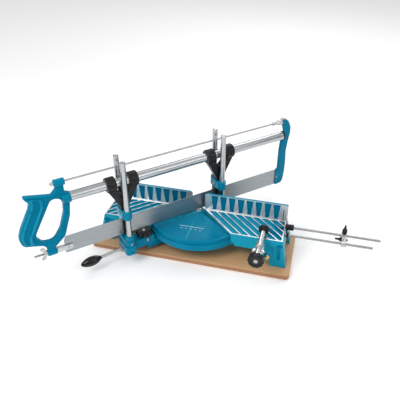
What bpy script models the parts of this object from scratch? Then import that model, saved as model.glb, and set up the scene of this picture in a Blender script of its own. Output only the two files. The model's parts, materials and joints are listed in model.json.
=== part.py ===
"""Precision mitre saw: a framed 550 mm saw blade that slides on guide posts over a cast bed.

Frame of the part: the origin lies on the swing pivot's axis, at the underside of the wooden
base board.  +X runs along the fence to the right, +Y points from the operator to the back
and +Z is up.  The fence's front face is the plane Y = 0.

Everything that swings is built in the arm's own frame: its +X runs along the blade from the
handle to the far end, and it is turned by REST_SWING about Z at the pivot.
"""
import math

import bmesh
import bpy
from mathutils import Matrix

MM = 0.001
GAP = 0.3 * MM          # clearance between neighbouring solids
SMOOTH_ANGLE = math.radians(35)

# Base board
BOARD_HALF_LENGTH = 231 * MM
BOARD_FRONT = -115 * MM
BOARD_BACK = 33 * MM
BOARD_THICKNESS = 12 * MM
BOARD_CORNER = 9 * MM

# Bed casting: two tables, the fence and the fan between them
TABLE_TOP = 74 * MM
TABLE_HALF_LENGTH = 207.5 * MM
TABLE_FRONT = -77 * MM
TABLE_BACK = 14 * MM
LEG_HALF_LENGTH = 220 * MM
LEG_FRONT = -90 * MM
LEG_BACK = 29 * MM
LEG_FOOT = BOARD_THICKNESS + GAP
WALL = 5 * MM
DECK = 10 * MM
ARCH_TOP = 46 * MM
THROAT_HALF = 15 * MM           # half the gap between the two fences
RIB_PITCH = 20.6 * MM           # along the fence
RIB_WIDTH = 3 * MM
RIB_DEPTH = 4.5 * MM
FENCE_TOP = 116.5 * MM
FENCE_THICKNESS = 6 * MM
FENCE_RECESS = 2.2 * MM
FENCE_LANDS = 9
FAN_RADIUS = 119 * MM
FAN_RIM_RADIUS = 122 * MM
FAN_TOP = 68 * MM
FAN_RIM_TOP = 57.5 * MM
FAN_RIM_BOTTOM = 43 * MM
FAN_HALF_ANGLE = math.radians(51)
REAR_BAY_HALF = 86 * MM         # clear bay behind the fence for the rear posts
ARM_ROOM_HALF_WIDTH = 15 * MM   # room cut into the tables' inner sides for the swinging arm
ARM_ROOM_BOTTOM = 30 * MM
ARM_ROOM_TOP = 53.4 * MM

# Swing arm and posts
REST_SWING = math.radians(45)
FRONT_POSTS = -186 * MM
REAR_POSTS = 52 * MM
POST_SIDE = 17.3 * MM
POST_RADIUS = 6 * MM
POST_FOOT = 46 * MM
POST_TOP = 260 * MM
BLOCK_TOP = 75.5 * MM
ARM_HALF_WIDTH = 14 * MM
LOCK_KNOB = -145 * MM
LEVER_PIVOT_Z = 35 * MM
LEVER_CHANNEL_TOP = 42.5 * MM
LEVER_SPRING = -196 * MM

# Saw frame
TUBE_HEIGHT = 207 * MM
TUBE_RADIUS = 10 * MM
TUBE_START = -311 * MM
TUBE_END = 231 * MM
TUBE_WALL = 1.5 * MM
RING_SEAT = 235.5 * MM          # where the black ring between the tube and the far bracket stops
RING_SEAT_RADIUS = 10.9 * MM
ROD_HEIGHT = 244.5 * MM
ROD_RADIUS = 2 * MM
BLADE_BOTTOM = 72.5 * MM
BLADE_WIDTH = 43 * MM
BLADE_START = -323 * MM
BLADE_END = 227 * MM
BLADE_THICKNESS = 1 * MM
TENSION_HEIGHT = 88 * MM
BRACKET_HALF_WIDTH = 3.5 * MM
HANDLE_HALF_WIDTH = 5.5 * MM
TOP_BOSS_START = -323 * MM
TOP_BOSS_END = -301 * MM
LOW_BOSS_START = -360 * MM
LOW_BOSS_END = -340.5 * MM

# Guide carriages
RING_RADIUS = 16 * MM
RING_INNER = 14.3 * MM
RING_OUTER = 34.5 * MM
SADDLE_BOTTOM = 121 * MM
SADDLE_TOP = 142 * MM
SADDLE_HALF_LENGTH = 11 * MM
STEM_HALF_LENGTH = 7 * MM
STEM_HALF_WIDTH = 4.5 * MM

# Workpiece clamp on the right table
CLAMP_X = 163 * MM
CLAMP_Z = 86 * MM
CLAMP_PAD_Y = -61 * MM
CLAMP_BOSS_FRONT = -127 * MM
CLAMP_BOSS_BACK = -111 * MM
CLAMP_KNOB_FRONT = -171 * MM
CLAMP_KNOB_BACK = -159 * MM
SPINDLE_RADIUS = 5 * MM

# Length stop on the right end of the bed
STOP_Z = 66 * MM
STOP_REAR_Y = -10 * MM
STOP_FRONT_Y = -40 * MM
STOP_ROD_RADIUS = 3 * MM
STOP_ROD_START = 180 * MM
STOP_REAR_END = 414 * MM
STOP_FRONT_END = 397 * MM
STOP_BLOCK_X = 336 * MM

AXIS_TURN = {
    "Z": (0, 0, 0),
    "X": (0, math.radians(90), 0),
    "Y": (math.radians(-90), 0, 0),
    "-X": (0, math.radians(-90), 0),
    "-Y": (math.radians(90), 0, 0),
}
UPRIGHT = (math.radians(90), 0, 0)      # an outline's y becomes height


def clear_scene():
    for old in list(bpy.data.objects):
        bpy.data.objects.remove(old, do_unlink=True)


def new_collection(name):
    group = bpy.data.collections.new(name)
    bpy.context.scene.collection.children.link(group)
    return group


clear_scene()
MODEL = new_collection("miter_box_saw")
CUTTERS = new_collection("cutters")
MATERIALS = {}


def new_material(name, colour, roughness, metallic):
    material = bpy.data.materials.new(name)
    material.use_nodes = True
    shader = material.node_tree.nodes["Principled BSDF"]
    shader.inputs["Base Color"].default_value = (*colour, 1)
    shader.inputs["Roughness"].default_value = roughness
    shader.inputs["Metallic"].default_value = metallic
    MATERIALS[name] = material


new_material("blue_paint", (0.0, 0.19, 0.38), 0.35, 0.1)
new_material("steel", (0.55, 0.56, 0.57), 0.3, 1.0)
new_material("chrome", (0.75, 0.76, 0.78), 0.12, 1.0)
new_material("black_plastic", (0.015, 0.015, 0.017), 0.45, 0.0)
new_material("zinc", (0.62, 0.63, 0.64), 0.35, 0.9)
new_material("brass", (0.65, 0.47, 0.2), 0.3, 1.0)
new_material("wood", (0.52, 0.32, 0.17), 0.6, 0.0)


# ---------------------------------------------------------------- helpers

def empty(name, at=(0, 0, 0), parent=None, turn=0.0):
    holder = bpy.data.objects.new(name, None)
    holder.location = at
    holder.rotation_euler = (0, 0, turn)
    holder.parent = parent
    MODEL.objects.link(holder)
    return holder


def place(mesh, name, material, at, turn, parent):
    piece = bpy.data.objects.new(name, mesh)
    piece.location = at
    piece.rotation_euler = turn
    piece.parent = parent
    if material:
        mesh.materials.append(MATERIALS[material])
        MODEL.objects.link(piece)
    else:
        CUTTERS.objects.link(piece)
        piece.hide_render = True
        piece.display_type = "WIRE"
    return piece


def box(name, low, high, material=None, parent=None, turn=(0, 0, 0)):
    """A box between two corners, with its origin at its centre."""
    size = [top - bottom for bottom, top in zip(low, high)]
    centre = [(top + bottom) / 2 for bottom, top in zip(low, high)]
    mesh = bpy.data.meshes.new(name)
    shape = bmesh.new()
    bmesh.ops.create_cube(shape, size=1, matrix=Matrix.Diagonal((*size, 1)))
    shape.to_mesh(mesh)
    shape.free()
    return place(mesh, name, material, centre, turn, parent)


def cylinder(name, radius, length, at, axis="Z", material=None, parent=None, sides=16, end_radius=None):
    """A cylinder or cone that starts at `at` and runs `length` along the axis."""
    far_radius = radius if end_radius is None else end_radius
    mesh = bpy.data.meshes.new(name)
    shape = bmesh.new()
    bmesh.ops.create_cone(
        shape, cap_ends=True, segments=sides, radius1=radius, radius2=far_radius, depth=length,
        matrix=Matrix.Translation((0, 0, length / 2)))
    shape.to_mesh(mesh)
    shape.free()
    mesh.shade_smooth()
    mesh.set_sharp_from_angle(angle=SMOOTH_ANGLE)
    return place(mesh, name, material, at, AXIS_TURN[axis], parent)


def turned(name, profile, at, axis="Z", material=None, parent=None, sides=16):
    """A turned shape: (radius, height) points down the outer side, top to bottom."""
    mesh = bpy.data.meshes.new(name)
    points = [(radius, 0, height) for radius, height in profile]
    edges = [(i, i + 1) for i in range(len(points) - 1)]
    mesh.from_pydata(points, edges, [])
    piece = place(mesh, name, material, at, AXIS_TURN[axis], parent)
    screw = piece.modifiers.new("turn", "SCREW")
    screw.steps = sides
    screw.render_steps = sides
    screw.use_merge_vertices = True
    screw.merge_threshold = 0.00001
    screw.use_smooth_shade = False
    return piece


def curve_mesh(curve, name):
    """The curve's mesh with its caps welded on; the curve itself is removed."""
    bpy.context.view_layer.update()
    graph = bpy.context.evaluated_depsgraph_get()
    mesh = bpy.data.meshes.new_from_object(curve.evaluated_get(graph))
    mesh.name = name
    mesh.materials.clear()
    shape = bmesh.new()
    shape.from_mesh(mesh)
    bmesh.ops.remove_doubles(shape, verts=shape.verts, dist=0.000001)
    bmesh.ops.recalc_face_normals(shape, faces=shape.faces)
    shape.to_mesh(mesh)
    shape.free()
    bpy.data.objects.remove(curve, do_unlink=True)
    mesh.shade_smooth()
    mesh.set_sharp_from_angle(angle=SMOOTH_ANGLE)
    return mesh


def plate(name, outlines, thickness, at=(0, 0, 0), turn=(0, 0, 0), material=None, parent=None):
    """A flat plate from closed outlines; an outline inside another is a hole.
    The outlines lie in the plate's middle plane."""
    data = bpy.data.curves.new(name, "CURVE")
    data.dimensions = "2D"
    data.fill_mode = "BOTH"
    data.extrude = thickness / 2
    for outline in outlines:
        spline = data.splines.new("POLY")
        spline.points.add(len(outline) - 1)
        for point, (x, y) in zip(spline.points, outline):
            point.co = (x, y, 0, 1)
        spline.use_cyclic_u = True
    curve = bpy.data.objects.new(name, data)
    CUTTERS.objects.link(curve)
    return place(curve_mesh(curve, name), name, material, at, turn, parent)


def wire(name, route, radius, material=None, parent=None, sides_level=2):
    """A round bar along a route of points, with filled ends."""
    data = bpy.data.curves.new(name, "CURVE")
    data.dimensions = "3D"
    data.bevel_depth = radius
    data.bevel_resolution = sides_level
    data.use_fill_caps = True
    spline = data.splines.new("POLY")
    spline.points.add(len(route) - 1)
    for point, place_xyz in zip(spline.points, route):
        point.co = (*place_xyz, 1)
    curve = bpy.data.objects.new(name, data)
    CUTTERS.objects.link(curve)
    return place(curve_mesh(curve, name), name, material, (0, 0, 0), (0, 0, 0), parent)


def boolean(piece, tool, operation):
    step = piece.modifiers.new(operation.lower(), "BOOLEAN")
    step.operation = operation
    step.object = tool
    step.solver = "EXACT"


def cut(piece, *tools):
    for tool in tools:
        boolean(piece, tool, "DIFFERENCE")


def join(piece, *tools):
    for tool in tools:
        boolean(piece, tool, "UNION")


def turn_about_pivot(piece, angle):
    """Swings a piece about the pivot's axis."""
    piece.location = Matrix.Rotation(angle, 3, "Z") @ piece.location
    piece.rotation_euler = (0, 0, angle)


def arc(centre, radius, start, end, steps):
    """Points on an arc; angles in degrees, counter-clockwise from +x."""
    angles = [math.radians(start + (end - start) * i / steps) for i in range(steps + 1)]
    return [(centre[0] + radius * math.cos(a), centre[1] + radius * math.sin(a)) for a in angles]


def rounded(corners, steps=2):
    """A closed outline from (x, y, radius) corners in millimetres, each corner turned into an arc."""
    outline = []
    for index, (x, y, radius) in enumerate(corners):
        before = corners[index - 1]
        after = corners[(index + 1) % len(corners)]
        first = (before[0] - x, before[1] - y)
        second = (after[0] - x, after[1] - y)
        first_length = math.hypot(*first)
        second_length = math.hypot(*second)
        first = (first[0] / first_length, first[1] / first_length)
        second = (second[0] / second_length, second[1] / second_length)
        opening = math.acos(max(-1, min(1, first[0] * second[0] + first[1] * second[1])))
        reach = radius / math.tan(opening / 2)
        limit = 0.49 * min(first_length, second_length)
        if radius <= 0 or opening > math.radians(177):
            outline.append((x * MM, y * MM))
            continue
        if reach > limit:
            reach = limit
            radius = reach * math.tan(opening / 2)
        middle = (first[0] + second[0], first[1] + second[1])
        scale = math.hypot(radius, reach) / math.hypot(*middle)
        centre = (x + middle[0] * scale, y + middle[1] * scale)
        begin = math.atan2(y + first[1] * reach - centre[1], x + first[0] * reach - centre[0])
        end_at = math.atan2(y + second[1] * reach - centre[1], x + second[0] * reach - centre[0])
        sweep = (end_at - begin + math.pi) % (2 * math.pi) - math.pi
        for step in range(steps + 1):
            angle = begin + sweep * step / steps
            outline.append(((centre[0] + radius * math.cos(angle)) * MM,
                            (centre[1] + radius * math.sin(angle)) * MM))
    return outline


def lobed(radius, depth, lobes, steps_per_lobe):
    """A hand knob's scalloped outline."""
    outline = []
    count = lobes * steps_per_lobe
    for index in range(count):
        angle = 2 * math.pi * index / count
        reach = radius - depth * (0.5 - 0.5 * math.cos(lobes * angle)) ** 2
        outline.append((reach * math.cos(angle), reach * math.sin(angle)))
    return outline


def tapered_block(name, top, bottom, low_z, high_z, material=None, parent=None):
    """A block whose top and bottom rectangles (x0, y0, x1, y1) differ, as a cast draft does."""
    block = box(name, (-1, -1, low_z), (1, 1, high_z), material, parent)
    for vertex in block.data.vertices:
        x0, y0, x1, y1 = top if vertex.co.z > 0 else bottom
        vertex.co.x = x0 if vertex.co.x < 0 else x1
        vertex.co.y = y0 if vertex.co.y < 0 else y1
    return block


# ---------------------------------------------------------------- base board and bed

LEG_SCREWS = [(side * 203 * MM, y) for side in (-1, 1) for y in (-79 * MM, 17 * MM)]


def build_board():
    half = BOARD_HALF_LENGTH / MM
    front = BOARD_FRONT / MM
    back = BOARD_BACK / MM
    corner = BOARD_CORNER / MM
    outline = rounded([(-half, front, corner), (half, front, corner),
                       (half, back, corner), (-half, back, corner)], 4)
    board = plate("base_board", [outline], BOARD_THICKNESS, (0, 0, BOARD_THICKNESS / 2), material="wood")
    for number, (x, y) in enumerate(LEG_SCREWS, 1):
        cut(board, cylinder(f"board_hole_{number}", 2.8 * MM, 20 * MM, (x, y, -4 * MM), sides=8),
            cylinder(f"board_counterbore_{number}", 6 * MM, 9 * MM, (x, y, -4 * MM), sides=8))
        turned(f"bed_screw_{number}", [(0, 24 * MM), (2.3 * MM, 24 * MM), (2.3 * MM, 4.7 * MM),
                                       (5.2 * MM, 4.7 * MM), (5.2 * MM, 1 * MM), (0, 1 * MM)],
               (x, y, 0), material="steel", sides=8)


def rib_grooves(side):
    """The recesses between the 45-degree ribs, each a parallelogram cut to the table's border."""
    border = 3 * MM
    front = TABLE_FRONT + border
    back = -border
    end = TABLE_HALF_LENGTH - border
    slant = RIB_WIDTH * math.sqrt(2)
    grooves = []
    start = THROAT_HALF + 8 * MM
    while start < end:
        low = start + slant / 2
        high = start + RIB_PITCH - slant / 2
        outline = []
        for x, y in ((low, back), (high, back), (high + back - front, front), (low + back - front, front)):
            outline.append((x, y))
        grooves.append([(side * x, y) for x, y in clip_right(outline, end)])
        start += RIB_PITCH
    return [groove for groove in grooves if len(groove) > 2]


def clip_right(outline, limit):
    """The part of an outline with x below the limit."""
    kept = []
    for index, (x, y) in enumerate(outline):
        last_x, last_y = outline[index - 1]
        if (x < limit) != (last_x < limit):
            share = (limit - last_x) / (x - last_x)
            kept.append((limit, last_y + share * (y - last_y)))
        if x < limit:
            kept.append((x, y))
    return kept


def fence_recesses(side):
    """Blue recesses between the fence's triangular lands: wide at the top, narrow at the foot."""
    recesses = []
    first = THROAT_HALF + 23 * MM
    for number in range(FENCE_LANDS - 1):
        middle = first + number * RIB_PITCH
        top_half = 8 * MM
        foot_half = 3.8 * MM
        foot = TABLE_TOP + 3 * MM
        top = FENCE_TOP - 1.5 * MM
        recesses.append([(side * (middle - foot_half), foot), (side * (middle + foot_half), foot),
                         (side * (middle + top_half), top), (side * (middle - top_half), top)])
    return recesses


def build_bed():
    half = TABLE_HALF_LENGTH
    bed = tapered_block("bed_casting", (-half, TABLE_FRONT, half, TABLE_BACK),
                        (-LEG_HALF_LENGTH, LEG_FRONT, LEG_HALF_LENGTH, LEG_BACK),
                        LEG_FOOT, TABLE_TOP, "blue_paint")
    hollow_bottom = LEG_FOOT - 2 * MM
    cavity = tapered_block(
        "bed_cavity", (-half + WALL, TABLE_FRONT + WALL, half - WALL, TABLE_BACK - WALL),
        (-LEG_HALF_LENGTH + WALL, LEG_FRONT + WALL, LEG_HALF_LENGTH - WALL, LEG_BACK - WALL),
        hollow_bottom, TABLE_TOP - DECK)
    throat = plate("bed_throat", [[(-THROAT_HALF, 60 * MM), (-THROAT_HALF, 0),
                                   (-THROAT_HALF - 100 * MM, -100 * MM),
                                   (THROAT_HALF + 100 * MM, -100 * MM), (THROAT_HALF, 0),
                                   (THROAT_HALF, 60 * MM)]],
                   100 * MM, (0, 0, 40 * MM))
    rear_bay = box("bed_rear_bay", (-REAR_BAY_HALF, 8 * MM, 0), (REAR_BAY_HALF, 60 * MM, 80 * MM))
    cut(bed, cavity, throat, rear_bay)

    # Room beside the fan for the arm's upper bar at the ends of its swing
    for side in (-1, 1):
        room = box(f"arm_room_{side}", (-ARM_ROOM_HALF_WIDTH, -200 * MM, ARM_ROOM_BOTTOM),
                   (ARM_ROOM_HALF_WIDTH, -FAN_RIM_RADIUS - 1.5 * MM, ARM_ROOM_TOP))
        turn_about_pivot(room, side * REST_SWING)
        cut(bed, room)

    # Four feet left by an arch in each side
    arch = rounded([(70, -20, 0), (193, -20, 0), (186, 12, 2), (172, 46, 8), (70, 46, 0)])
    for side in (-1, 1):
        outline = [(side * x, z) for x, z in arch]
        cut(bed, plate(f"front_arch_{side}", [outline], 400 * MM, (0, 0, 0), UPRIGHT))
    cut(bed, box("end_arch", (-300 * MM, -60 * MM, 0), (300 * MM, 0, 48 * MM)))
    for number, (x, y) in enumerate(LEG_SCREWS, 1):
        boss = cylinder(f"leg_boss_{number}", 7 * MM, 58 * MM, (x, y, LEG_FOOT), sides=8)
        join(bed, boss)
    for number, (x, y) in enumerate(LEG_SCREWS, 1):
        cut(bed, cylinder(f"leg_hole_{number}", 2.6 * MM, 30 * MM, (x, y, 0), sides=8))

    # Fan: a stepped round front with a hollow under its plate, and the pivot hub
    half_angle = math.degrees(FAN_HALF_ANGLE)
    sector = [(0, 2 * MM)] + arc((0, 0), FAN_RADIUS, -90 - half_angle, -90 + half_angle, 20)
    rim = [(0, 1 * MM)] + arc((0, 0), FAN_RIM_RADIUS, -89.6 - half_angle, -90.4 + half_angle, 20)
    plate_bottom = FAN_RIM_BOTTOM + 1 * MM
    fan = plate("fan_plate", [sector], FAN_TOP - plate_bottom, (0, 0, (FAN_TOP + plate_bottom) / 2))
    fan_rim = plate("fan_rim", [rim], FAN_RIM_TOP - FAN_RIM_BOTTOM,
                    (0, 0, (FAN_RIM_TOP + FAN_RIM_BOTTOM) / 2))
    bridge = box("rear_bridge", (-REAR_BAY_HALF - 3 * MM, -3 * MM, FAN_RIM_BOTTOM + 1.5 * MM),
                 (REAR_BAY_HALF + 3 * MM, 7.6 * MM, FAN_TOP - 0.5 * MM))
    under = cylinder("fan_hollow", FAN_RADIUS - WALL, 50 * MM, (0, 0, 11 * MM), sides=32)
    hub = cylinder("pivot_hub", 17 * MM, 22 * MM, (0, 0, FAN_RIM_BOTTOM + 0.5 * MM), sides=24)
    bridge_wall = box("rear_bridge_wall", (-REAR_BAY_HALF - 2 * MM, 2 * MM, FAN_RIM_BOTTOM + 0.7 * MM),
                      (REAR_BAY_HALF + 2 * MM, 7.2 * MM, FAN_TOP - 2 * MM))
    join(bed, fan, fan_rim, bridge)
    cut(bed, under)
    join(bed, hub, bridge_wall)
    cut(bed, cylinder("pivot_bore", 5.4 * MM, 60 * MM, (0, 0, 20 * MM)))

    # Ribs
    for side in (-1, 1):
        cut(bed, plate(f"rib_grooves_{side}", rib_grooves(side), 2 * RIB_DEPTH, (0, 0, TABLE_TOP)))

    # Fence halves with bevelled inner ends, gussets behind, and recesses between the lands
    for side in (-1, 1):
        plan = [(side * THROAT_HALF, 0), (side * half, 0), (side * half, FENCE_THICKNESS),
                (side * (THROAT_HALF + FENCE_THICKNESS), FENCE_THICKNESS)]
        height = FENCE_TOP - FAN_TOP
        fence = plate(f"fence_{side}", [plan], height, (0, 0, FAN_TOP + height / 2))
        join(bed, fence)
        cut(bed, plate(f"fence_recesses_{side}", fence_recesses(side), 2 * FENCE_RECESS, (0, 0, 0),
                       UPRIGHT))
        for x in (105, 150, 195):
            gusset = plate(f"fence_gusset_{side}_{x}",
                           [[(5 * MM, 70 * MM), (13 * MM, 70 * MM), (13 * MM, 78 * MM),
                             (5 * MM, 110 * MM)]],
                           4 * MM, (side * x * MM, 0, 0), (math.radians(90), 0, math.radians(90)))
            join(bed, gusset)

    # Seats of the length stop and holes for the clamp's screw
    cut(bed, box("collar_seat", (194 * MM, -26 * MM, 50 * MM), (215 * MM, -GAP, 80 * MM)))
    for name, y in (("rear", STOP_REAR_Y), ("front", STOP_FRONT_Y)):
        join(bed, cylinder(f"stop_socket_{name}", 7 * MM, 25 * MM, (176 * MM, y, STOP_Z), "X", sides=16))
    for name, y in (("rear", STOP_REAR_Y), ("front", STOP_FRONT_Y)):
        cut(bed, cylinder(f"stop_bore_{name}", STOP_ROD_RADIUS + GAP, 50 * MM, (178 * MM, y, STOP_Z), "X",
                          sides=16))
    cut(bed, cylinder("clamp_screw_hole", 3.4 * MM, 30 * MM, (180 * MM, -95 * MM, 50 * MM), "Y", sides=8))
    return bed


def build_pivot():
    turned("pivot_bolt", [(0, 71.3 * MM), (5 * MM, 71.3 * MM), (6.8 * MM, 70.3 * MM),
                          (6.8 * MM, FAN_TOP + GAP),
                          (5 * MM, FAN_TOP + GAP), (5 * MM, 12.6 * MM), (0, 12.6 * MM)], (0, 0, 0),
           material="chrome")
    nut = cylinder("pivot_nut", 9 * MM, 6 * MM, (0, 0, 13 * MM), material="steel", sides=6)
    cut(nut, cylinder("pivot_nut_bore", 5.3 * MM, 20 * MM, (0, 0, 5 * MM)))


# ---------------------------------------------------------------- workpiece clamp

def build_clamp():
    slide = empty("clamp_axis", (CLAMP_X, CLAMP_PAD_Y, CLAMP_Z))
    pad_thickness = 6 * MM
    boss_length = CLAMP_BOSS_BACK - CLAMP_BOSS_FRONT

    # Bracket: a foot on the apron, an arm, and the threaded boss
    bracket = cylinder("clamp_bracket", 9.5 * MM, boss_length, (CLAMP_X, CLAMP_BOSS_FRONT, CLAMP_Z), "Y",
                       "zinc", sides=16)
    arm = wire("clamp_bracket_arm", [(CLAMP_X, CLAMP_BOSS_BACK - 8 * MM, CLAMP_Z - 4 * MM),
                                     (CLAMP_X + 1 * MM, CLAMP_BOSS_BACK - 7 * MM, CLAMP_Z - 20 * MM),
                                     (CLAMP_X + 3 * MM, CLAMP_BOSS_BACK - 1 * MM, CLAMP_Z - 31 * MM),
                                     (CLAMP_X + 4 * MM, CLAMP_BOSS_BACK + 10 * MM, CLAMP_Z - 35 * MM)],
                                     6.5 * MM,
               sides_level=2)
    foot_front = -106 * MM
    foot = box("clamp_bracket_foot", (162 * MM, foot_front, 42 * MM), (187 * MM, -60 * MM, 57 * MM))
    join(bracket, arm, foot)
    apron = tapered_block("clamp_apron_space", (0, TABLE_FRONT - GAP, 400 * MM, 80 * MM),
                          (0, LEG_FRONT - GAP, 400 * MM, 80 * MM), LEG_FOOT, TABLE_TOP)
    cut(bracket, apron, cylinder("clamp_thread", SPINDLE_RADIUS + GAP, 60 * MM,
                                 (CLAMP_X, CLAMP_BOSS_FRONT - 20 * MM, CLAMP_Z), "Y"),
        cylinder("clamp_bracket_hole", 3.4 * MM, 60 * MM, (180 * MM, -120 * MM, 50 * MM), "Y", sides=8))
    turned("clamp_bracket_screw", [(0, 6 * MM), (4 * MM, 6 * MM), (5.5 * MM, 4.5 * MM), (5.5 * MM, 0),
                                   (3 * MM, 0), (3 * MM, -32 * MM), (0, -32 * MM)],
           (180 * MM, foot_front - GAP, 50 * MM), "-Y", "brass", sides=8)

    # Spindle, pad, hand knob and the wing nut that locks the spindle
    spindle_length = CLAMP_PAD_Y - CLAMP_KNOB_FRONT - 1 * MM
    turned("clamp_pad", [(0, pad_thickness), (10 * MM, pad_thickness),
                         (11.5 * MM, pad_thickness - 1.5 * MM),
                         (11.5 * MM, 0), (7.5 * MM, -2 * MM), (7.5 * MM, -6 * MM), (5.4 * MM, -6 * MM),
                         (5.4 * MM, 2 * MM), (0, 2 * MM)], (0, 0, 0), "Y", "black_plastic", slide, 16)
    turned("clamp_spindle", [(0, 1.6 * MM), (4 * MM, 1.6 * MM), (SPINDLE_RADIUS, 0.6 * MM),
                             (SPINDLE_RADIUS, -spindle_length), (0, -spindle_length)],
           (0, 0, 0), "Y", "steel", slide, 16)
    knob_length = CLAMP_KNOB_BACK - CLAMP_KNOB_FRONT
    knob = plate("clamp_knob", [lobed(17 * MM, 1.4 * MM, 10, 4)], knob_length,
                 (0, (CLAMP_KNOB_FRONT + CLAMP_KNOB_BACK) / 2 - CLAMP_PAD_Y, 0), UPRIGHT, "black_plastic",
                 slide)
    collar_start = CLAMP_KNOB_BACK - 1 * MM - CLAMP_PAD_Y
    join(knob, cylinder("clamp_knob_hub", 9 * MM, 8 * MM, (0, collar_start, 0), "Y", parent=slide,
                        sides=20))
    cut(knob, cylinder("clamp_knob_bore", SPINDLE_RADIUS + GAP, 60 * MM,
                       (0, CLAMP_KNOB_FRONT - 20 * MM - CLAMP_PAD_Y, 0), "Y", parent=slide, sides=16))
    wing = wing_nut("clamp_wing_nut", 7.5 * MM, 6 * MM, 14 * MM, SPINDLE_RADIUS + GAP, slide)
    wing.location = (0, CLAMP_BOSS_FRONT - GAP - CLAMP_PAD_Y, 0)
    wing.rotation_euler = (math.radians(90), 0, 0)


def wing_nut(name, hub_radius, hub_height, reach, bore, parent):
    """A wing nut that sits on z = 0 with its wings rising outwards."""
    millimetre = 1 / MM
    hub_r = hub_radius * millimetre
    top = hub_height * millimetre
    far = reach * millimetre
    wing = rounded([(0, top * 0.2, 0), (hub_r, top * 0.15, 0), (far - 1, top * 0.7, 3), (far, top * 1.9, 3),
                    (far - 5, top * 1.9, 3), (hub_r * 0.7, top * 0.95, 0), (0, top * 0.9, 0)])
    outline = wing + [(-x, z) for x, z in reversed(wing)]
    nut = cylinder(name, hub_radius, hub_height, (0, 0, 0), "Z", "zinc", parent, 16, hub_radius * 0.8)
    tools = plate(f"{name}_wings", [outline], 3.2 * MM, (0, 0, 0), UPRIGHT)
    tools.parent = nut
    join(nut, tools)
    hole = cylinder(f"{name}_bore", bore, 4 * hub_height, (0, 0, -hub_height), parent=nut, sides=16)
    cut(nut, hole)
    return nut


# ---------------------------------------------------------------- length stop

def thumb_screw(name, head_radius, head_length, shank, at, axis, parent):
    """A moulded head with a flat grip on a threaded shank that starts at `at`."""
    head = turned(name, [(0, head_length), (head_radius * 0.75, head_length),
                         (head_radius, head_length - 1.5 * MM),
                         (head_radius, 1 * MM), (head_radius * 0.7, 0), (2.2 * MM, 0), (2.2 * MM, -shank),
                         (0, -shank)], at, axis, "black_plastic", parent, 16)
    grip = box(f"{name}_grip", (-head_radius * 0.45, -1.5 * MM, head_length - 2 * MM),
               (head_radius * 0.45, 1.5 * MM, head_length + 8 * MM), parent=head)
    join(head, grip)
    return head


def build_stop():
    for name, y, end in (("rear", STOP_REAR_Y, STOP_REAR_END), ("front", STOP_FRONT_Y, STOP_FRONT_END)):
        length = end - STOP_ROD_START
        radius = STOP_ROD_RADIUS
        turned(f"stop_rod_{name}", [(0, length), (radius - 0.6 * MM, length), (radius, length - 0.6 * MM),
                                    (radius, 0), (0, 0)],
               (STOP_ROD_START, y, STOP_Z), "X", "steel", sides=16)
    # The lock nut of the rear rod, knurled, and the plain nut of the front rod
    collar = plate("stop_rod_collar", [lobed(7 * MM, 0.7 * MM, 8, 3)], 18 * MM,
                   (211 * MM, STOP_REAR_Y, STOP_Z), AXIS_TURN["X"], "black_plastic")
    join(collar, cylinder("stop_rod_collar_lip", 5.6 * MM, 24 * MM, (201.5 * MM, STOP_REAR_Y, STOP_Z), "X",
                          sides=16))
    cut(collar, cylinder("stop_rod_collar_bore", STOP_ROD_RADIUS + GAP, 40 * MM,
                         (195 * MM, STOP_REAR_Y, STOP_Z), "X", sides=16))
    nut = cylinder("stop_rod_nut", 6.6 * MM, 6 * MM, (211.2 * MM, STOP_FRONT_Y, STOP_Z), "X", "steel",
                   sides=6)
    cut(nut, cylinder("stop_rod_nut_bore", STOP_ROD_RADIUS + GAP, 20 * MM,
                      (200 * MM, STOP_FRONT_Y, STOP_Z), "X", sides=16))

    slide = empty("stop_slide", (STOP_BLOCK_X, (STOP_REAR_Y + STOP_FRONT_Y) / 2, STOP_Z))
    half_gap = (STOP_REAR_Y - STOP_FRONT_Y) / 2
    reach = half_gap / MM + 7
    outline = rounded([(-reach, -6, 4), (-4, -4.5, 3), (4, -4.5, 3), (reach, -7, 5), (reach, 8, 5),
                       (reach - 13, 8, 3), (-4, 5, 3), (-reach, 6, 4)], 2)
    block = plate("stop_block", [outline], 10 * MM, (0, 0, 0), (math.radians(90), 0, math.radians(90)),
                  "zinc", slide)
    for side in (-1, 1):
        cut(block, cylinder(f"stop_block_bore_{side}", STOP_ROD_RADIUS + GAP, 40 * MM,
                            (-20 * MM, side * half_gap, 0), "X", parent=slide, sides=16))
    cut(block, cylinder("stop_lock_thread", 2.5 * MM, 20 * MM, (0, half_gap, 1 * MM), parent=slide,
                        sides=8),
        cylinder("stop_face_thread", 2.5 * MM, 30 * MM, (-15 * MM, 0, 0), "X", parent=slide, sides=8))
    thumb_screw("stop_lock_screw", 5.5 * MM, 12 * MM, 4.4 * MM, (0, half_gap, 8.3 * MM), "Z", slide)
    thumb_screw("stop_face_screw", 5.5 * MM, 6 * MM, 14 * MM, (-5.3 * MM, 0, 0), "-X", slide)


# ---------------------------------------------------------------- swing arm

ARM = empty("arm_swing_axis", turn=REST_SWING)


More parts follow.
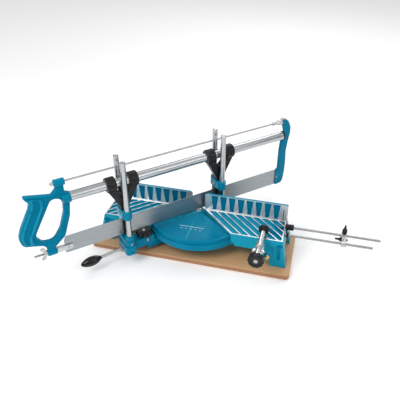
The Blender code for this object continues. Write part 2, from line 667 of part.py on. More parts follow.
def build_arm():
    stations = (("front", FRONT_POSTS, 27 * MM), ("rear", REAR_POSTS, 25 * MM))
    blocks = (("front_foot", FRONT_POSTS / MM, 27, 13, 28, 50, 8),
              ("front", FRONT_POSTS / MM, 26.8, 10.5, 49, BLOCK_TOP / MM, 10.2),
              ("rear", REAR_POSTS / MM, 25, 10, 21, BLOCK_TOP / MM, 8))
    arm = box("swing_arm", (FRONT_POSTS + 5 * MM, -ARM_HALF_WIDTH, 30 * MM),
              (-FAN_RIM_RADIUS - 2.5 * MM, ARM_HALF_WIDTH, 52.5 * MM), "blue_paint", ARM)
    low_bar = box("arm_low_bar", (-141 * MM, -ARM_HALF_WIDTH + 0.5 * MM, 20 * MM),
                  (REAR_POSTS - 4 * MM, ARM_HALF_WIDTH - 0.5 * MM, 41.5 * MM), parent=ARM)
    hub = cylinder("arm_hub", 20 * MM, 20.7 * MM, (0, 0, 20.4 * MM), parent=ARM, sides=24)
    join(arm, low_bar, hub)
    # Each pair of posts stands in a block with round ends; the front one flares at its foot
    for name, s, half_width, half_length, foot, top, corner in blocks:
        outline = rounded([(s - half_length, -half_width, corner), (s + half_length, -half_width, corner),
                           (s + half_length, half_width, corner), (s - half_length, half_width, corner)], 4)
        block = plate(f"arm_block_{name}", [outline], (top - foot) * MM, (0, 0, (top + foot) / 2 * MM),
                      parent=ARM)
        join(arm, block)
    # A channel under the arm for the index lever, and the slot that lets the blade guide come down
    channel = box("lever_channel", (-205 * MM, -5 * MM, 10 * MM), (-112 * MM, 5 * MM, LEVER_CHANNEL_TOP),
                  parent=ARM)
    cut(arm, channel)
    for name, s, half_width in stations:
        cut(arm, box(f"arm_saddle_{name}", (s - 40 * MM, -8 * MM, BLOCK_TOP - 9 * MM),
                     (s + 40 * MM, 8 * MM, BLOCK_TOP + 20 * MM), parent=ARM))
        for side_name, side in (("near", -1), ("far", 1)):
            cut(arm, cylinder(f"socket_{name}_{side_name}", POST_RADIUS + GAP, 60 * MM,
                              (s, side * POST_SIDE, POST_FOOT - GAP), parent=ARM, sides=16))
            turned(f"{name}_post_{side_name}",
                   [(0, POST_TOP), (POST_RADIUS - 1.2 * MM, POST_TOP), (POST_RADIUS, POST_TOP - 1.2 * MM),
                    (POST_RADIUS, POST_FOOT), (0, POST_FOOT)],
                   (s, side * POST_SIDE, 0), "Z", "chrome", ARM, 16)
            axis = "-Y" if side < 0 else "Y"
            cut(arm, cylinder(f"set_screw_hole_{name}_{side_name}", 2.7 * MM, 20 * MM,
                              (s, side * (POST_SIDE + 2 * MM), 58 * MM), axis, parent=ARM, sides=8))
            start = POST_SIDE + POST_RADIUS + GAP
            cylinder(f"post_screw_{name}_{side_name}", 2.4 * MM, half_width - start - 0.4 * MM + 1 * MM,
                     (s, side * start, 58 * MM), axis, "steel", ARM, 12)
    cut(arm, cylinder("arm_pivot_bore", 5.4 * MM, 60 * MM, (0, 0, 5 * MM), parent=ARM),
        cylinder("lock_stud_hole", 4.3 * MM, 20 * MM, (LOCK_KNOB, 0, 43.8 * MM), parent=ARM, sides=16),
        cylinder("lever_pin_hole", 2.3 * MM, 80 * MM, (FRONT_POSTS, -40 * MM, LEVER_PIVOT_Z), "Y",
                 parent=ARM, sides=8),
        cylinder("arm_side_hole", 2.7 * MM, 9 * MM, (-142 * MM, -ARM_HALF_WIDTH - 1 * MM, 46 * MM), "Y",
                 parent=ARM, sides=8))
    turned("arm_side_screw", [(0, 2.6 * MM), (2.4 * MM, 2.6 * MM), (3.8 * MM, 1.4 * MM), (3.8 * MM, 0),
                              (2.4 * MM, 0), (2.4 * MM, -7 * MM), (0, -7 * MM)],
           (-142 * MM, -ARM_HALF_WIDTH - GAP, 46 * MM), "-Y", "steel", ARM, 12)
    turned("lock_stud", [(0, 66.3 * MM), (3 * MM, 66.3 * MM), (4 * MM, 65.3 * MM), (4 * MM, 44.1 * MM),
                         (0, 44.1 * MM)],
           (LOCK_KNOB, 0, 0), "Z", "steel", ARM, 16)
    knob = plate("lock_knob", [lobed(19 * MM, 4 * MM, 7, 5)], 10 * MM, (LOCK_KNOB, 0, 60 * MM), parent=ARM,
                 material="black_plastic")
    join(knob, cylinder("lock_knob_hub", 9 * MM, 5 * MM, (LOCK_KNOB, 0, 52.9 * MM), parent=ARM, sides=16))
    cut(knob, cylinder("lock_knob_bore", 4.3 * MM, 60 * MM, (LOCK_KNOB, 0, 40 * MM), parent=ARM, sides=16))


def build_lever():
    """The index lever turns on a pin through the front block; its tooth reaches under the fan's rim."""
    pivot = empty("lever_axis", (FRONT_POSTS, 0, LEVER_PIVOT_Z), ARM)
    lever = wire("index_lever", [(-98 * MM, 0, -8 * MM), (-14 * MM, 0, -1 * MM), (0, 0, 0),
                                 (66 * MM, 0, 0)],
                 3.4 * MM, "steel", pivot)
    join(lever, cylinder("lever_eye", 5.2 * MM, 8.4 * MM, (0, -4.2 * MM, 0), "Y", parent=pivot, sides=16),
         box("lever_tooth", (59 * MM, -3.9 * MM, -3.2 * MM), (69 * MM, 3.9 * MM, 6.9 * MM), parent=pivot))
    cut(lever, cylinder("lever_eye_bore", 2.3 * MM, 40 * MM, (0, -20 * MM, 0), "Y", parent=pivot, sides=8))
    # An egg-shaped grip along the lever's outer end
    length = 48
    profile = [(0, length)]
    for step in range(1, 10):
        along = step / 10
        profile.append((11.5 * math.sin(math.pi * along) ** 0.62 * (0.86 + 0.14 * along),
                        length * (1 - along)))
    profile.append((4.4, 0))
    profile += [(3.7, 0), (3.7, 36), (0, 36)]
    grip = turned("lever_knob", [(r * MM, h * MM) for r, h in profile], (-64 * MM, 0, -5.2 * MM), "-X",
                  "black_plastic", pivot, 14)
    grip.rotation_euler = (0, math.radians(-90) - math.atan2(7, 84), 0)
    cylinder("lever_pin", 2 * MM, 48 * MM, (FRONT_POSTS, -24 * MM, LEVER_PIVOT_Z), "Y", "steel", ARM, 12)
    # The return spring sits outside the pin: it pushes the grip down and the tooth up
    turns = 4
    per_turn = 8
    low = LEVER_PIVOT_Z + 3.6 * MM
    high = LEVER_CHANNEL_TOP - 0.6 * MM
    route = []
    for step in range(turns * per_turn + 1):
        angle = 2 * math.pi * step / per_turn
        height = low + (high - low) * step / (turns * per_turn)
        route.append((LEVER_SPRING + 3 * MM * math.cos(angle), 3 * MM * math.sin(angle), height))
    wire("lever_spring", route, 0.3 * MM, "steel", ARM, 0)


# ---------------------------------------------------------------- guide carriages

def build_guide(name, s):
    """A cast saddle that slides on two posts, and the V that holds the tube's two rings."""
    lift = empty(f"{name}_lift", (s, 0, 0), ARM)
    height = SADDLE_TOP - SADDLE_BOTTOM
    saddle = box(f"{name}_saddle", (-SADDLE_HALF_LENGTH, -POST_SIDE, SADDLE_BOTTOM + 0.5 * MM),
                 (SADDLE_HALF_LENGTH, POST_SIDE, SADDLE_TOP - 0.5 * MM), "blue_paint", lift)
    for side in (-1, 1):
        join(saddle, cylinder(f"{name}_boss_{side}", 8.6 * MM, height, (0, side * POST_SIDE, SADDLE_BOTTOM),
                              parent=lift, sides=16))
    cut(saddle, box(f"{name}_pocket", (-STEM_HALF_LENGTH - GAP, -STEM_HALF_WIDTH - GAP,
                                       SADDLE_BOTTOM - 5 * MM),
                    (STEM_HALF_LENGTH + GAP, STEM_HALF_WIDTH + GAP, SADDLE_TOP + 5 * MM), parent=lift))
    for side in (-1, 1):
        cut(saddle, cylinder(f"{name}_bore_{side}", POST_RADIUS + GAP, 2 * height,
                             (0, side * POST_SIDE, SADDLE_BOTTOM - 5 * MM), parent=lift, sides=16))

    rest = SADDLE_TOP / MM
    outer = RING_OUTER / MM - 0.5
    inner = RING_INNER / MM + 0.2
    vee = rounded([(-outer, 202, 0), (-outer, 196, 3), (-10, rest + 9, 6), (-9, rest + 0.3, 1),
                   (9, rest + 0.3, 1), (10, rest + 9, 6), (outer, 196, 3), (outer, 202, 0), (inner, 202, 0),
                   (inner - 2.5, 189, 4), (0, 174, 5), (2.5 - inner, 189, 4), (-inner, 202, 0)])
    guide = plate(f"{name}_v_guide", [vee], 18 * MM, (0, 0, 0), UPRIGHT, "black_plastic", lift)
    stem = box(f"{name}_stem", (-STEM_HALF_LENGTH, -STEM_HALF_WIDTH, 76 * MM),
               (STEM_HALF_LENGTH, STEM_HALF_WIDTH, SADDLE_TOP + 6 * MM), parent=lift)
    join(guide, stem)
    for side in (-1, 1):
        start = RING_INNER if side > 0 else -RING_OUTER
        join(guide, cylinder(f"{name}_ring_{side}", RING_RADIUS, RING_OUTER - RING_INNER,
                             (start, 0, TUBE_HEIGHT), "X", parent=lift, sides=20))
    cut(guide, cylinder(f"{name}_tube_bore", TUBE_RADIUS + GAP, 100 * MM, (-50 * MM, 0, TUBE_HEIGHT), "X",
                        parent=lift, sides=20),
        box(f"{name}_blade_slot", (-20 * MM, -0.9 * MM, 70 * MM), (20 * MM, 0.9 * MM, 117 * MM),
            parent=lift),
        cylinder(f"{name}_screw_pit", 2.4 * MM, 10 * MM, (-STEM_HALF_LENGTH - 1 * MM, 0, 131.5 * MM), "X",
                 parent=lift, sides=8))
    cut(saddle, cylinder(f"{name}_screw_hole", 2.4 * MM, 20 * MM, (-25 * MM, 0, 131.5 * MM), "X",
                         parent=lift, sides=8))
    turned(f"{name}_guide_screw", [(0, 2.4 * MM), (2.6 * MM, 2.4 * MM), (4 * MM, 1.4 * MM), (4 * MM, 0),
                                   (2.1 * MM, 0), (2.1 * MM, -9 * MM), (0, -9 * MM)],
           (-SADDLE_HALF_LENGTH - GAP, 0, 131.5 * MM), "-X", "steel", lift, 12)


# ---------------------------------------------------------------- saw frame

def build_handle(saw):
    outline = rounded([(-387, 235.5, 1.5), (-375, 217, 5), (-379, 204, 10), (-401, 164, 30), (-408.5, 144, 28),
                       (-403.5, 122.5, 14), (-386, 118, 12), (-366, 111.5, 4), (-360.5, 106, 3),
                       (-359.5, 88, 0), (-341, 88, 0), (-340.5, 100, 6), (-318, 120, 26), (-302, 166, 40),
                       (-297.5, 196, 8), (-297.5, 219.5, 2), (-304.5, 221.5, 3), (-304, 244, 0),
                       (-320, 244, 0), (-331, 222.5, 5)])
    hole = rounded([(-333, 214.5, 12), (-311, 208, 14), (-313.5, 176, 40), (-326, 141, 40),
                    (-343, 117.5, 16), (-364, 120.5, 12), (-376.5, 139, 14)], 3)
    handle = plate("handle", [outline, hole], 2 * HANDLE_HALF_WIDTH, (0, 0, 0), UPRIGHT, "blue_paint", saw)
    grip = rounded([(-382, 229, 4), (-374, 217, 6), (-377, 204, 10), (-399, 164, 30), (-406.5, 144, 28),
                    (-401.5, 124.5, 12), (-386, 120.5, 10), (-380, 121, 6), (-383, 139, 14), (-349, 203, 8),
                    (-349, 221, 6)])
    join(handle, plate("handle_grip", [grip], 16 * MM, (0, 0, 0), UPRIGHT, parent=saw),
         cylinder("handle_tube_boss", 11.6 * MM, 18 * MM, (-312.5 * MM, 0, TUBE_HEIGHT), "X", parent=saw,
                  sides=20),
         cylinder("handle_top_boss", 7.5 * MM, TOP_BOSS_END - TOP_BOSS_START, (TOP_BOSS_START, 0, ROD_HEIGHT),
                  "X", parent=saw),
         cylinder("handle_low_boss", 7.5 * MM, LOW_BOSS_END - LOW_BOSS_START,
                  (LOW_BOSS_START, 0, TENSION_HEIGHT), "X", parent=saw))
    cut(handle, cylinder("handle_tube_bore", TUBE_RADIUS + GAP, 40 * MM, (TUBE_START - GAP, 0, TUBE_HEIGHT),
                         "X", parent=saw, sides=20),
        cylinder("handle_rod_bore", ROD_RADIUS + GAP, 60 * MM, (-340 * MM, 0, ROD_HEIGHT), "X", parent=saw,
                 sides=8),
        cylinder("handle_screw_bore", 3.3 * MM, 60 * MM, (-380 * MM, 0, TENSION_HEIGHT), "X", parent=saw,
                 sides=8))


def build_bracket(saw):
    width = 2 * BRACKET_HALF_WIDTH
    outline = rounded([(227, 252.5, 2), (237.3, 249.5, 8), (248, 240, 12), (254.3, 226, 14), (254.8, 212, 20),
                       (250.5, 190, 30), (247, 165, 30), (249, 130, 30), (248.5, 104, 30), (245.5, 80, 10),
                       (240, 72.5, 6), (221.5, 71.5, 2), (221.5, 115.3, 1.5), (227.3, 116.5, 1.5),
                       (227.3, 170, 20), (229.5, 192, 8), (235.5, 201, 6), (235.5, 217, 8), (231, 232, 6),
                       (227, 240, 2)])
    bracket = plate("far_bracket", [outline], width, (0, 0, 0), UPRIGHT, "blue_paint", saw)
    # The tube's end and its ring sit in a round seat, on a plug that fits the tube's bore
    cut(bracket, cylinder("far_bracket_seat", RING_SEAT_RADIUS, 15 * MM, (RING_SEAT - 15 * MM, 0, TUBE_HEIGHT),
                          "X", parent=saw, sides=20))
    join(bracket, cylinder("far_bracket_plug", TUBE_RADIUS - TUBE_WALL - GAP, 18 * MM,
                           (RING_SEAT - 15 * MM, 0, TUBE_HEIGHT), "X", parent=saw, sides=20))
    cut(bracket,
        cylinder("far_bracket_rod_bore", ROD_RADIUS + GAP, 30 * MM, (210 * MM, 0, ROD_HEIGHT), "X",
                 parent=saw, sides=8),
        box("far_bracket_slot", (200 * MM, -0.8 * MM, 60 * MM),
            (BLADE_END + 0.5 * MM, 0.8 * MM, 116.2 * MM), parent=saw),
        cylinder("far_bracket_pin_bore", 2.3 * MM, 40 * MM, (224.5 * MM, -20 * MM, 94 * MM), "Y",
                 parent=saw, sides=8))
    cylinder("blade_pin_far", 2 * MM, width + 1 * MM, (224.5 * MM, -BRACKET_HALF_WIDTH - 0.5 * MM, 94 * MM),
             "Y", "steel", saw, 12)


def build_saw():
    saw = empty("saw_stroke_axis", (0, 0, 0), ARM)
    build_handle(saw)
    build_bracket(saw)
    tube = cylinder("main_tube", TUBE_RADIUS, TUBE_END - TUBE_START, (TUBE_START, 0, TUBE_HEIGHT), "X",
                    "chrome", saw, 20)
    cut(tube, cylinder("main_tube_bore", TUBE_RADIUS - TUBE_WALL, 600 * MM, (-330 * MM, 0, TUBE_HEIGHT), "X",
                       parent=saw, sides=20))
    ring = cylinder("tube_end_ring", RING_SEAT_RADIUS - GAP, RING_SEAT - TUBE_END - 2 * GAP,
                    (TUBE_END + GAP, 0, TUBE_HEIGHT), "X", "black_plastic", saw, 20)
    cut(ring, cylinder("tube_end_ring_bore", TUBE_RADIUS - TUBE_WALL, 20 * MM, (220 * MM, 0, TUBE_HEIGHT), "X",
                       parent=saw, sides=20))

    # Tension rod over the tube, with its nut behind the handle and its sleeve at the far bracket
    cylinder("tension_rod", ROD_RADIUS, 563 * MM, (-330 * MM, 0, ROD_HEIGHT), "X", "steel", saw, 12)
    nut = turned("tension_rod_nut", [(0, 5 * MM), (2.6 * MM, 5 * MM), (3.4 * MM, 4 * MM), (3.4 * MM, 0),
                                     (0, 0)],
                 (TOP_BOSS_START - GAP, 0, ROD_HEIGHT), "-X", "zinc", saw, 12)
    cut(nut, cylinder("tension_rod_nut_bore", ROD_RADIUS + GAP, 9 * MM,
                      (TOP_BOSS_START - 8 * MM, 0, ROD_HEIGHT),
                      "X", parent=saw, sides=8))
    sleeve = turned("tension_rod_sleeve", [(0, 0), (6 * MM, 0), (6.5 * MM, -3 * MM), (6 * MM, -10 * MM),
                                           (4.2 * MM, -17 * MM), (4.2 * MM, -26 * MM), (3.4 * MM, -27 * MM),
                                           (0, -27 * MM)], (226.7 * MM, 0, ROD_HEIGHT), "X", "zinc", saw,
                                           16)
    cut(sleeve, cylinder("tension_rod_sleeve_bore", ROD_RADIUS + GAP, 60 * MM, (190 * MM, 0, ROD_HEIGHT),
                         "X", parent=saw, sides=8))

    # Blade, and the clevis, screw and wing nut that stretch it
    bottom = BLADE_BOTTOM / MM
    top = bottom + BLADE_WIDTH / MM
    start = BLADE_START / MM
    end = BLADE_END / MM
    blade_outline = [(x * MM, z * MM) for x, z in
                     ((start, bottom), (end, bottom), (end, top), (start + 4, top), (start, top - 10))]
    blade = plate("blade", [blade_outline], BLADE_THICKNESS, (0, 0, 0), UPRIGHT, "steel", saw)
    cut(blade, cylinder("blade_hole_far", 2.3 * MM, 20 * MM, (224.5 * MM, -10 * MM, 94 * MM), "Y",
                        parent=saw, sides=8),
        cylinder("blade_hole_near", 2.3 * MM, 20 * MM, (-315 * MM, -10 * MM, TENSION_HEIGHT), "Y",
                 parent=saw, sides=8))
    clevis_outline = rounded([(-339.8, 82.5, 1), (-308, 82.5, 3), (-305.5, 86, 2), (-305.5, 93.5, 3),
                              (-339.8, 94.5, 1)], 2)
    clevis = plate("blade_clevis", [clevis_outline], 8 * MM, (0, 0, 0), UPRIGHT, "zinc", saw)
    cut(clevis, box("clevis_slot", (BLADE_START - 0.6 * MM, -0.8 * MM, 70 * MM),
                    (-300 * MM, 0.8 * MM, 110 * MM), parent=saw),
        cylinder("clevis_pin_bore", 2.3 * MM, 30 * MM, (-315 * MM, -15 * MM, TENSION_HEIGHT), "Y",
                 parent=saw, sides=8),
        cylinder("clevis_thread", 2.8 * MM, 14 * MM, (-345 * MM, 0, TENSION_HEIGHT), "X", parent=saw,
                 sides=8))
    cylinder("blade_pin_near", 2 * MM, 9.4 * MM, (-315 * MM, -4.7 * MM, TENSION_HEIGHT), "Y", "steel", saw,
             12)
    cylinder("tension_screw", 2.5 * MM, 55 * MM, (-387 * MM, 0, TENSION_HEIGHT), "X", "steel", saw, 12)
    wing = wing_nut("tension_wing_nut", 6 * MM, 7 * MM, 16 * MM, 2.8 * MM, saw)
    wing.location = (LOW_BOSS_START - GAP, 0, TENSION_HEIGHT)
    wing.rotation_euler = (0, math.radians(-90), 0)


build_board()
build_bed()
build_pivot()
build_clamp()
build_stop()
build_arm()
build_lever()
build_guide("front", FRONT_POSTS)
build_guide("rear", REAR_POSTS)
build_saw()
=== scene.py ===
"""Looks of the precision mitre saw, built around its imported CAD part.

Each piece stands for one CAD node and takes its place and size from that node.  Lengths are
in millimetres.  Pieces of the swing arm and the saw are built in the arm's own frame: its +X
runs along the blade from the handle to the far end, and it is turned about Z by ARM_TURN.
"""
import json
import math

import bmesh
import bpy
from mathutils import Euler, Matrix, Vector


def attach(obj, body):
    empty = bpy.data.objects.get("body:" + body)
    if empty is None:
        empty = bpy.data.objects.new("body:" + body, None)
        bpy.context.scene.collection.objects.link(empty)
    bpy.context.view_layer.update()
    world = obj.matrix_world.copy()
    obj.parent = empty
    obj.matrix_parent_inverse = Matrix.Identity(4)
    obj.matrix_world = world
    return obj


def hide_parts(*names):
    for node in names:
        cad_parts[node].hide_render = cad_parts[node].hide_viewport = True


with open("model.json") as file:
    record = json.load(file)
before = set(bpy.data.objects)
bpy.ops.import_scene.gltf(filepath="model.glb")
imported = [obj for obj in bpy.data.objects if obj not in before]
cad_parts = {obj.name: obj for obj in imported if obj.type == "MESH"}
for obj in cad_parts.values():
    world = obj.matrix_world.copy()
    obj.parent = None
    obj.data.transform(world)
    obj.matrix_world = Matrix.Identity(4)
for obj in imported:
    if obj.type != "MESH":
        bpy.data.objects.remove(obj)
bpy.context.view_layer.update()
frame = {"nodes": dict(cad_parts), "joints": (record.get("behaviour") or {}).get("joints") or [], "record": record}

MM = 0.001
RECORD = frame["record"]
BODY_OF = {node: body for body, nodes in RECORD["behaviour"]["bodies"].items() for node in nodes}
SLOT_OF = {part["node"]: part["material_slot"] for part in RECORD["subparts"]}
STROKE = next(joint for joint in frame["joints"] if joint["name"] == "saw_stroke")["axis"]
ARM_TURN = math.atan2(STROKE[1], STROKE[0])

# Design values of the castings, which a node's box does not give
TABLE_TOP = 74.0
TABLE_FRONT = -77.0
FOOT_FRONT = -90.0
TABLE_BACK = 14.0
TABLE_HALF = 207.5
WALL = 5.0
DECK = 10.0
THROAT = 15.0
RIB_PITCH = 20.6
RIB_WIDTH = 2.5
RIB_DEPTH = 4.5
FENCE_TOP = 116.5
FENCE_RECESS = 2.2
FENCE_THICKNESS = 6.0
FAN_TOP = 68.0
FAN_RADIUS = 119.0
FAN_HALF_ANGLE = 51.0
REAR_BAY = 86.0
POST_SIDE = 17.3
BLOCK_TOP = 75.5
RIM_BOTTOM = 43.0           # underside of the fan's rim
RING_RADIUS = 16.0          # outside of the V guides' rings

# Holes, a little wider than what passes through them
TUBE_HOLE = 10.3
POST_HOLE = 6.3
PIVOT_HOLE = 5.7
SPINDLE_HOLE = 5.3
STUD_HOLE = 4.3
STOP_ROD_HOLE = 3.3
TENSION_HOLE = 3.3
CLAMP_SCREW_HOLE = 3.4
SMALL_SCREW_HOLE = 2.7
GUIDE_SCREW_HOLE = 2.4
PIN_HOLE = 2.3

SKY_STRENGTH = 0.8
FLOOR_REACH = 40            # metres from the middle to the floor's sides
UPRIGHT = (math.radians(90), 0, 0)                      # an outline's y becomes height
ENDWISE = (math.radians(90), 0, math.radians(90))       # an outline's x becomes Y, its y height
AXIS_TURN = {"Z": (0, 0, 0), "-Z": (math.pi, 0, 0), "X": (0, math.pi / 2, 0), "-X": (0, -math.pi / 2, 0),
    "Y": (-math.pi / 2, 0, 0), "-Y": (math.pi / 2, 0, 0)}


# ---------------------------------------------------------------- materials

class Finish:
    """A Principled material whose colour, roughness and relief vary with noise in object space."""

    def __init__(self, name, colour, roughness, metallic=0.0, **sockets):
        self.material = bpy.data.materials.new(name)
        self.material.use_nodes = True
        self.tree = self.material.node_tree
        self.shader = self.tree.nodes["Principled BSDF"]
        self.shader.inputs["Base Color"].default_value = (*colour, 1)
        self.shader.inputs["Roughness"].default_value = roughness
        self.shader.inputs["Metallic"].default_value = metallic
        for socket, value in sockets.items():
            self.shader.inputs[socket.replace("_", " ")].default_value = value
        self.colour = (*colour, 1)
        self.colour_output = None
        self.relief_output = None

    def node(self, kind, **values):
        made = self.tree.nodes.new(kind)
        for key, value in values.items():
            setattr(made, key, value)
        return made

    def link(self, output, target):
        self.tree.links.new(output, target)

    def noise(self, scale, stretch=(1, 1, 1), turn=0.0, detail=4.0):
        """Noise over the piece; `stretch` scales each axis after a turn about Z."""
        place = self.node("ShaderNodeTexCoord")
        turned_place = self.node("ShaderNodeMapping")
        turned_place.inputs["Rotation"].default_value = (0, 0, -turn)
        spread = self.node("ShaderNodeMapping")
        spread.inputs["Scale"].default_value = stretch
        noise = self.node("ShaderNodeTexNoise")
        noise.inputs["Scale"].default_value = scale
        noise.inputs["Detail"].default_value = detail
        self.link(place.outputs["Object"], turned_place.inputs["Vector"])
        self.link(turned_place.outputs["Vector"], spread.inputs["Vector"])
        self.link(spread.outputs["Vector"], noise.inputs["Vector"])
        return noise.outputs["Fac"]

    def edges(self):
        """High on convex edges."""
        return self.node("ShaderNodeNewGeometry").outputs["Pointiness"]

    def facing(self, axis):
        """How far the surface faces along a world axis, from -1 to 1."""
        split = self.node("ShaderNodeSeparateXYZ")
        self.link(self.node("ShaderNodeNewGeometry").outputs["Normal"], split.inputs["Vector"])
        return split.outputs[axis]

    def ranged(self, value, low, high, to_low=0.0, to_high=1.0):
        """The value moved from one range to another and held inside it."""
        ranged = self.node("ShaderNodeMapRange")
        for socket, number in (("From Min", low), ("From Max", high), ("To Min", to_low),
                ("To Max", to_high)):
            ranged.inputs[socket].default_value = number
        self.link(value, ranged.inputs["Value"])
        return ranged.outputs["Result"]

    def tint(self, value, colour, low, high, amount=1.0):
        """Mixes a colour in where the value runs from low to high."""
        mix = self.node("ShaderNodeMix", data_type="RGBA")
        self.link(self.ranged(value, low, high, 0.0, amount), mix.inputs["Factor"])
        if self.colour_output:
            self.link(self.colour_output, mix.inputs["A"])
        else:
            mix.inputs["A"].default_value = self.colour
        mix.inputs["B"].default_value = (*colour, 1)
        self.colour_output = mix.outputs["Result"]
        self.link(self.colour_output, self.shader.inputs["Base Color"])
        return self

    def gloss(self, value, low, high, from_low=0.3, from_high=0.7):
        """Lets the roughness run from low to high with the value."""
        self.link(self.ranged(value, from_low, from_high, low, high), self.shader.inputs["Roughness"])
        return self

    def relief(self, value, height, strength=1.0):
        """Adds relief of about `height` millimetres."""
        bump = self.node("ShaderNodeBump")
        bump.inputs["Strength"].default_value = strength
        bump.inputs["Distance"].default_value = height * MM
        self.link(value, bump.inputs["Height"])
        if self.relief_output:
            self.link(self.relief_output, bump.inputs["Normal"])
        self.relief_output = bump.outputs["Normal"]
        self.link(self.relief_output, self.shader.inputs["Normal"])
        return self


def blue_paint():
    """Gloss enamel over a sand casting: soft orange peel, with a painted highlight of paler cyan on the convex
    edges.
    """
    paint = Finish("blue_enamel", (0.0, 0.185, 0.33), 0.26, Specular_IOR_Level=0.22,
        Specular_Tint=(0.03, 0.75, 1, 1))
    paint.tint(paint.noise(22), (0.0, 0.13, 0.235), 0.35, 0.75, 0.55)
    paint.tint(paint.noise(160), (0.0, 0.24, 0.38), 0.45, 0.8, 0.35)
    # painted highlight: paler cyan on the convex edges, where the rounded rims catch the light
    paint.tint(paint.edges(), (0.02, 0.4, 0.55), 0.51, 0.6, 0.6)
    paint.gloss(paint.noise(60), 0.22, 0.36)
    return paint.relief(paint.noise(420, detail=2), 0.05, 0.35).relief(paint.noise(90), 0.08, 0.25).material


def bare_aluminium():
    """Milled lands and rib tops."""
    metal = Finish("milled_aluminium", (0.83, 0.84, 0.85), 0.34, 0.85)
    metal.tint(metal.noise(70), (0.66, 0.67, 0.68), 0.4, 0.75, 0.5)
    mill_marks = metal.noise(120, (1, 14, 1))
    return metal.gloss(mill_marks, 0.28, 0.5).relief(mill_marks, 0.02, 0.4).material


def chrome():
    """Bright drawn tube with faint wipe marks."""
    metal = Finish("bright_chrome", (0.5, 0.52, 0.53), 0.2, 1.0)
    metal.tint(metal.noise(35), (0.4, 0.42, 0.44), 0.4, 0.8, 0.5)
    return metal.gloss(metal.noise(50, (6, 1, 1), ARM_TURN), 0.15, 0.3).material


def blade_steel():
    """Ground along its length, with larger darker patches."""
    steel = Finish("ground_steel", (0.34, 0.365, 0.38), 0.36, 0.9)
    streaks = steel.noise(900, (0.02, 1, 1), ARM_TURN, 3)
    steel.tint(steel.noise(14), (0.3, 0.32, 0.34), 0.4, 0.7, 0.6)
    steel.tint(streaks, (0.6, 0.62, 0.64), 0.45, 0.75, 0.4)
    return steel.gloss(streaks, 0.28, 0.46).relief(streaks, 0.015, 0.5).material


def plated_steel():
    """Zinc-plated screws and rods."""
    steel = Finish("plated_steel", (0.46, 0.47, 0.47), 0.28, 1.0)
    steel.tint(steel.noise(90), (0.3, 0.3, 0.3), 0.45, 0.75, 0.5)
    return steel.gloss(steel.noise(140), 0.2, 0.4).material


def zinc_casting():
    """Plated die casting."""
    zinc = Finish("plated_zinc", (0.6, 0.61, 0.61), 0.3, 0.95)
    zinc.tint(zinc.noise(80), (0.36, 0.37, 0.38), 0.4, 0.75, 0.6)
    return zinc.gloss(zinc.noise(120), 0.22, 0.44).relief(zinc.noise(500), 0.05, 0.3).material


def brass():
    metal = Finish("yellow_brass", (0.66, 0.47, 0.19), 0.28, 1.0)
    metal.tint(metal.noise(150), (0.45, 0.3, 0.11), 0.45, 0.75, 0.5)
    return metal.gloss(metal.noise(200), 0.2, 0.42).material


def black_plastic():
    """Moulded nylon: satin, fine grained, with a painted highlight that makes the convex edges paler."""
    plastic = Finish("black_nylon", (0.006, 0.006, 0.007), 0.36, Specular_IOR_Level=0.3)
    plastic.tint(plastic.noise(40), (0.016, 0.016, 0.018), 0.4, 0.75, 0.7)
    # painted highlight: paler grey on the convex edges
    plastic.tint(plastic.edges(), (0.05, 0.05, 0.055), 0.53, 0.64, 0.5)
    plastic.gloss(plastic.noise(120), 0.28, 0.45)
    return plastic.relief(plastic.noise(1400, detail=2), 0.03, 0.4).material


def gloss_black():
    """The lever's polished grip."""
    plastic = Finish("polished_black", (0.004, 0.004, 0.005), 0.16, Coat_Weight=0.15, Coat_Roughness=0.05,
        Specular_IOR_Level=0.3)
    plastic.tint(plastic.noise(60), (0.012, 0.012, 0.014), 0.45, 0.75, 0.5)
    return plastic.gloss(plastic.noise(90), 0.1, 0.24).material


def board_wood():
    """Sealed fibreboard: even tan faces with fine fibres, redder cut edges with darker layers."""
    wood = Finish("fibreboard", (0.6, 0.35, 0.17), 0.5)
    wood.tint(wood.noise(18, (0.4, 1, 1)), (0.68, 0.43, 0.23), 0.35, 0.75, 0.7)
    wood.tint(wood.noise(600, (0.35, 1, 1), detail=6), (0.44, 0.23, 0.1), 0.52, 0.75, 0.5)
    layers = wood.noise(60, (0.3, 0.3, 14))
    rim = wood.node("ShaderNodeMath", operation="ABSOLUTE")
    wood.link(wood.facing("Z"), rim.inputs[0])
    wood.tint(rim.outputs["Value"], (0.4, 0.17, 0.075), 0.95, 0.3, 0.75)
    mask = wood.node("ShaderNodeMath", operation="MULTIPLY")
    wood.link(wood.ranged(rim.outputs["Value"], 0.9, 0.3), mask.inputs[0])
    wood.link(layers, mask.inputs[1])
    wood.tint(mask.outputs["Value"], (0.25, 0.1, 0.045), 0.4, 0.75, 0.6)
    wood.gloss(wood.noise(200), 0.4, 0.62)
    return wood.relief(wood.noise(900, (0.4, 1, 1)), 0.05, 0.35).material


def painted_slot_shade():
    """Near-black paint for the inside of slots: painted shade."""
    # painted shade: a near-black colour stands for the shade that falls inside the slot
    dark = Finish("painted_slot_shade", (0.01, 0.012, 0.014), 0.7)
    return dark.tint(dark.noise(200), (0.03, 0.03, 0.032), 0.4, 0.7).material


def pale_line():
    """Pale paint of the raised index marks."""
    line = Finish("pale_marking", (0.62, 0.78, 0.84), 0.4)
    return line.tint(line.noise(150), (0.42, 0.64, 0.74), 0.4, 0.7, 0.5).material


MATERIALS = {"blue_paint": blue_paint(), "chrome": chrome(), "black_plastic": black_plastic(),
    "zinc": zinc_casting(), "brass": brass(), "blade_steel": blade_steel(), "board_wood": board_wood(),
    "steel": plated_steel(), "bare": bare_aluminium(), "dark": painted_slot_shade(), "pale": pale_line(),
    "gloss_black": gloss_black()}


# ---------------------------------------------------------------- places read from the frame

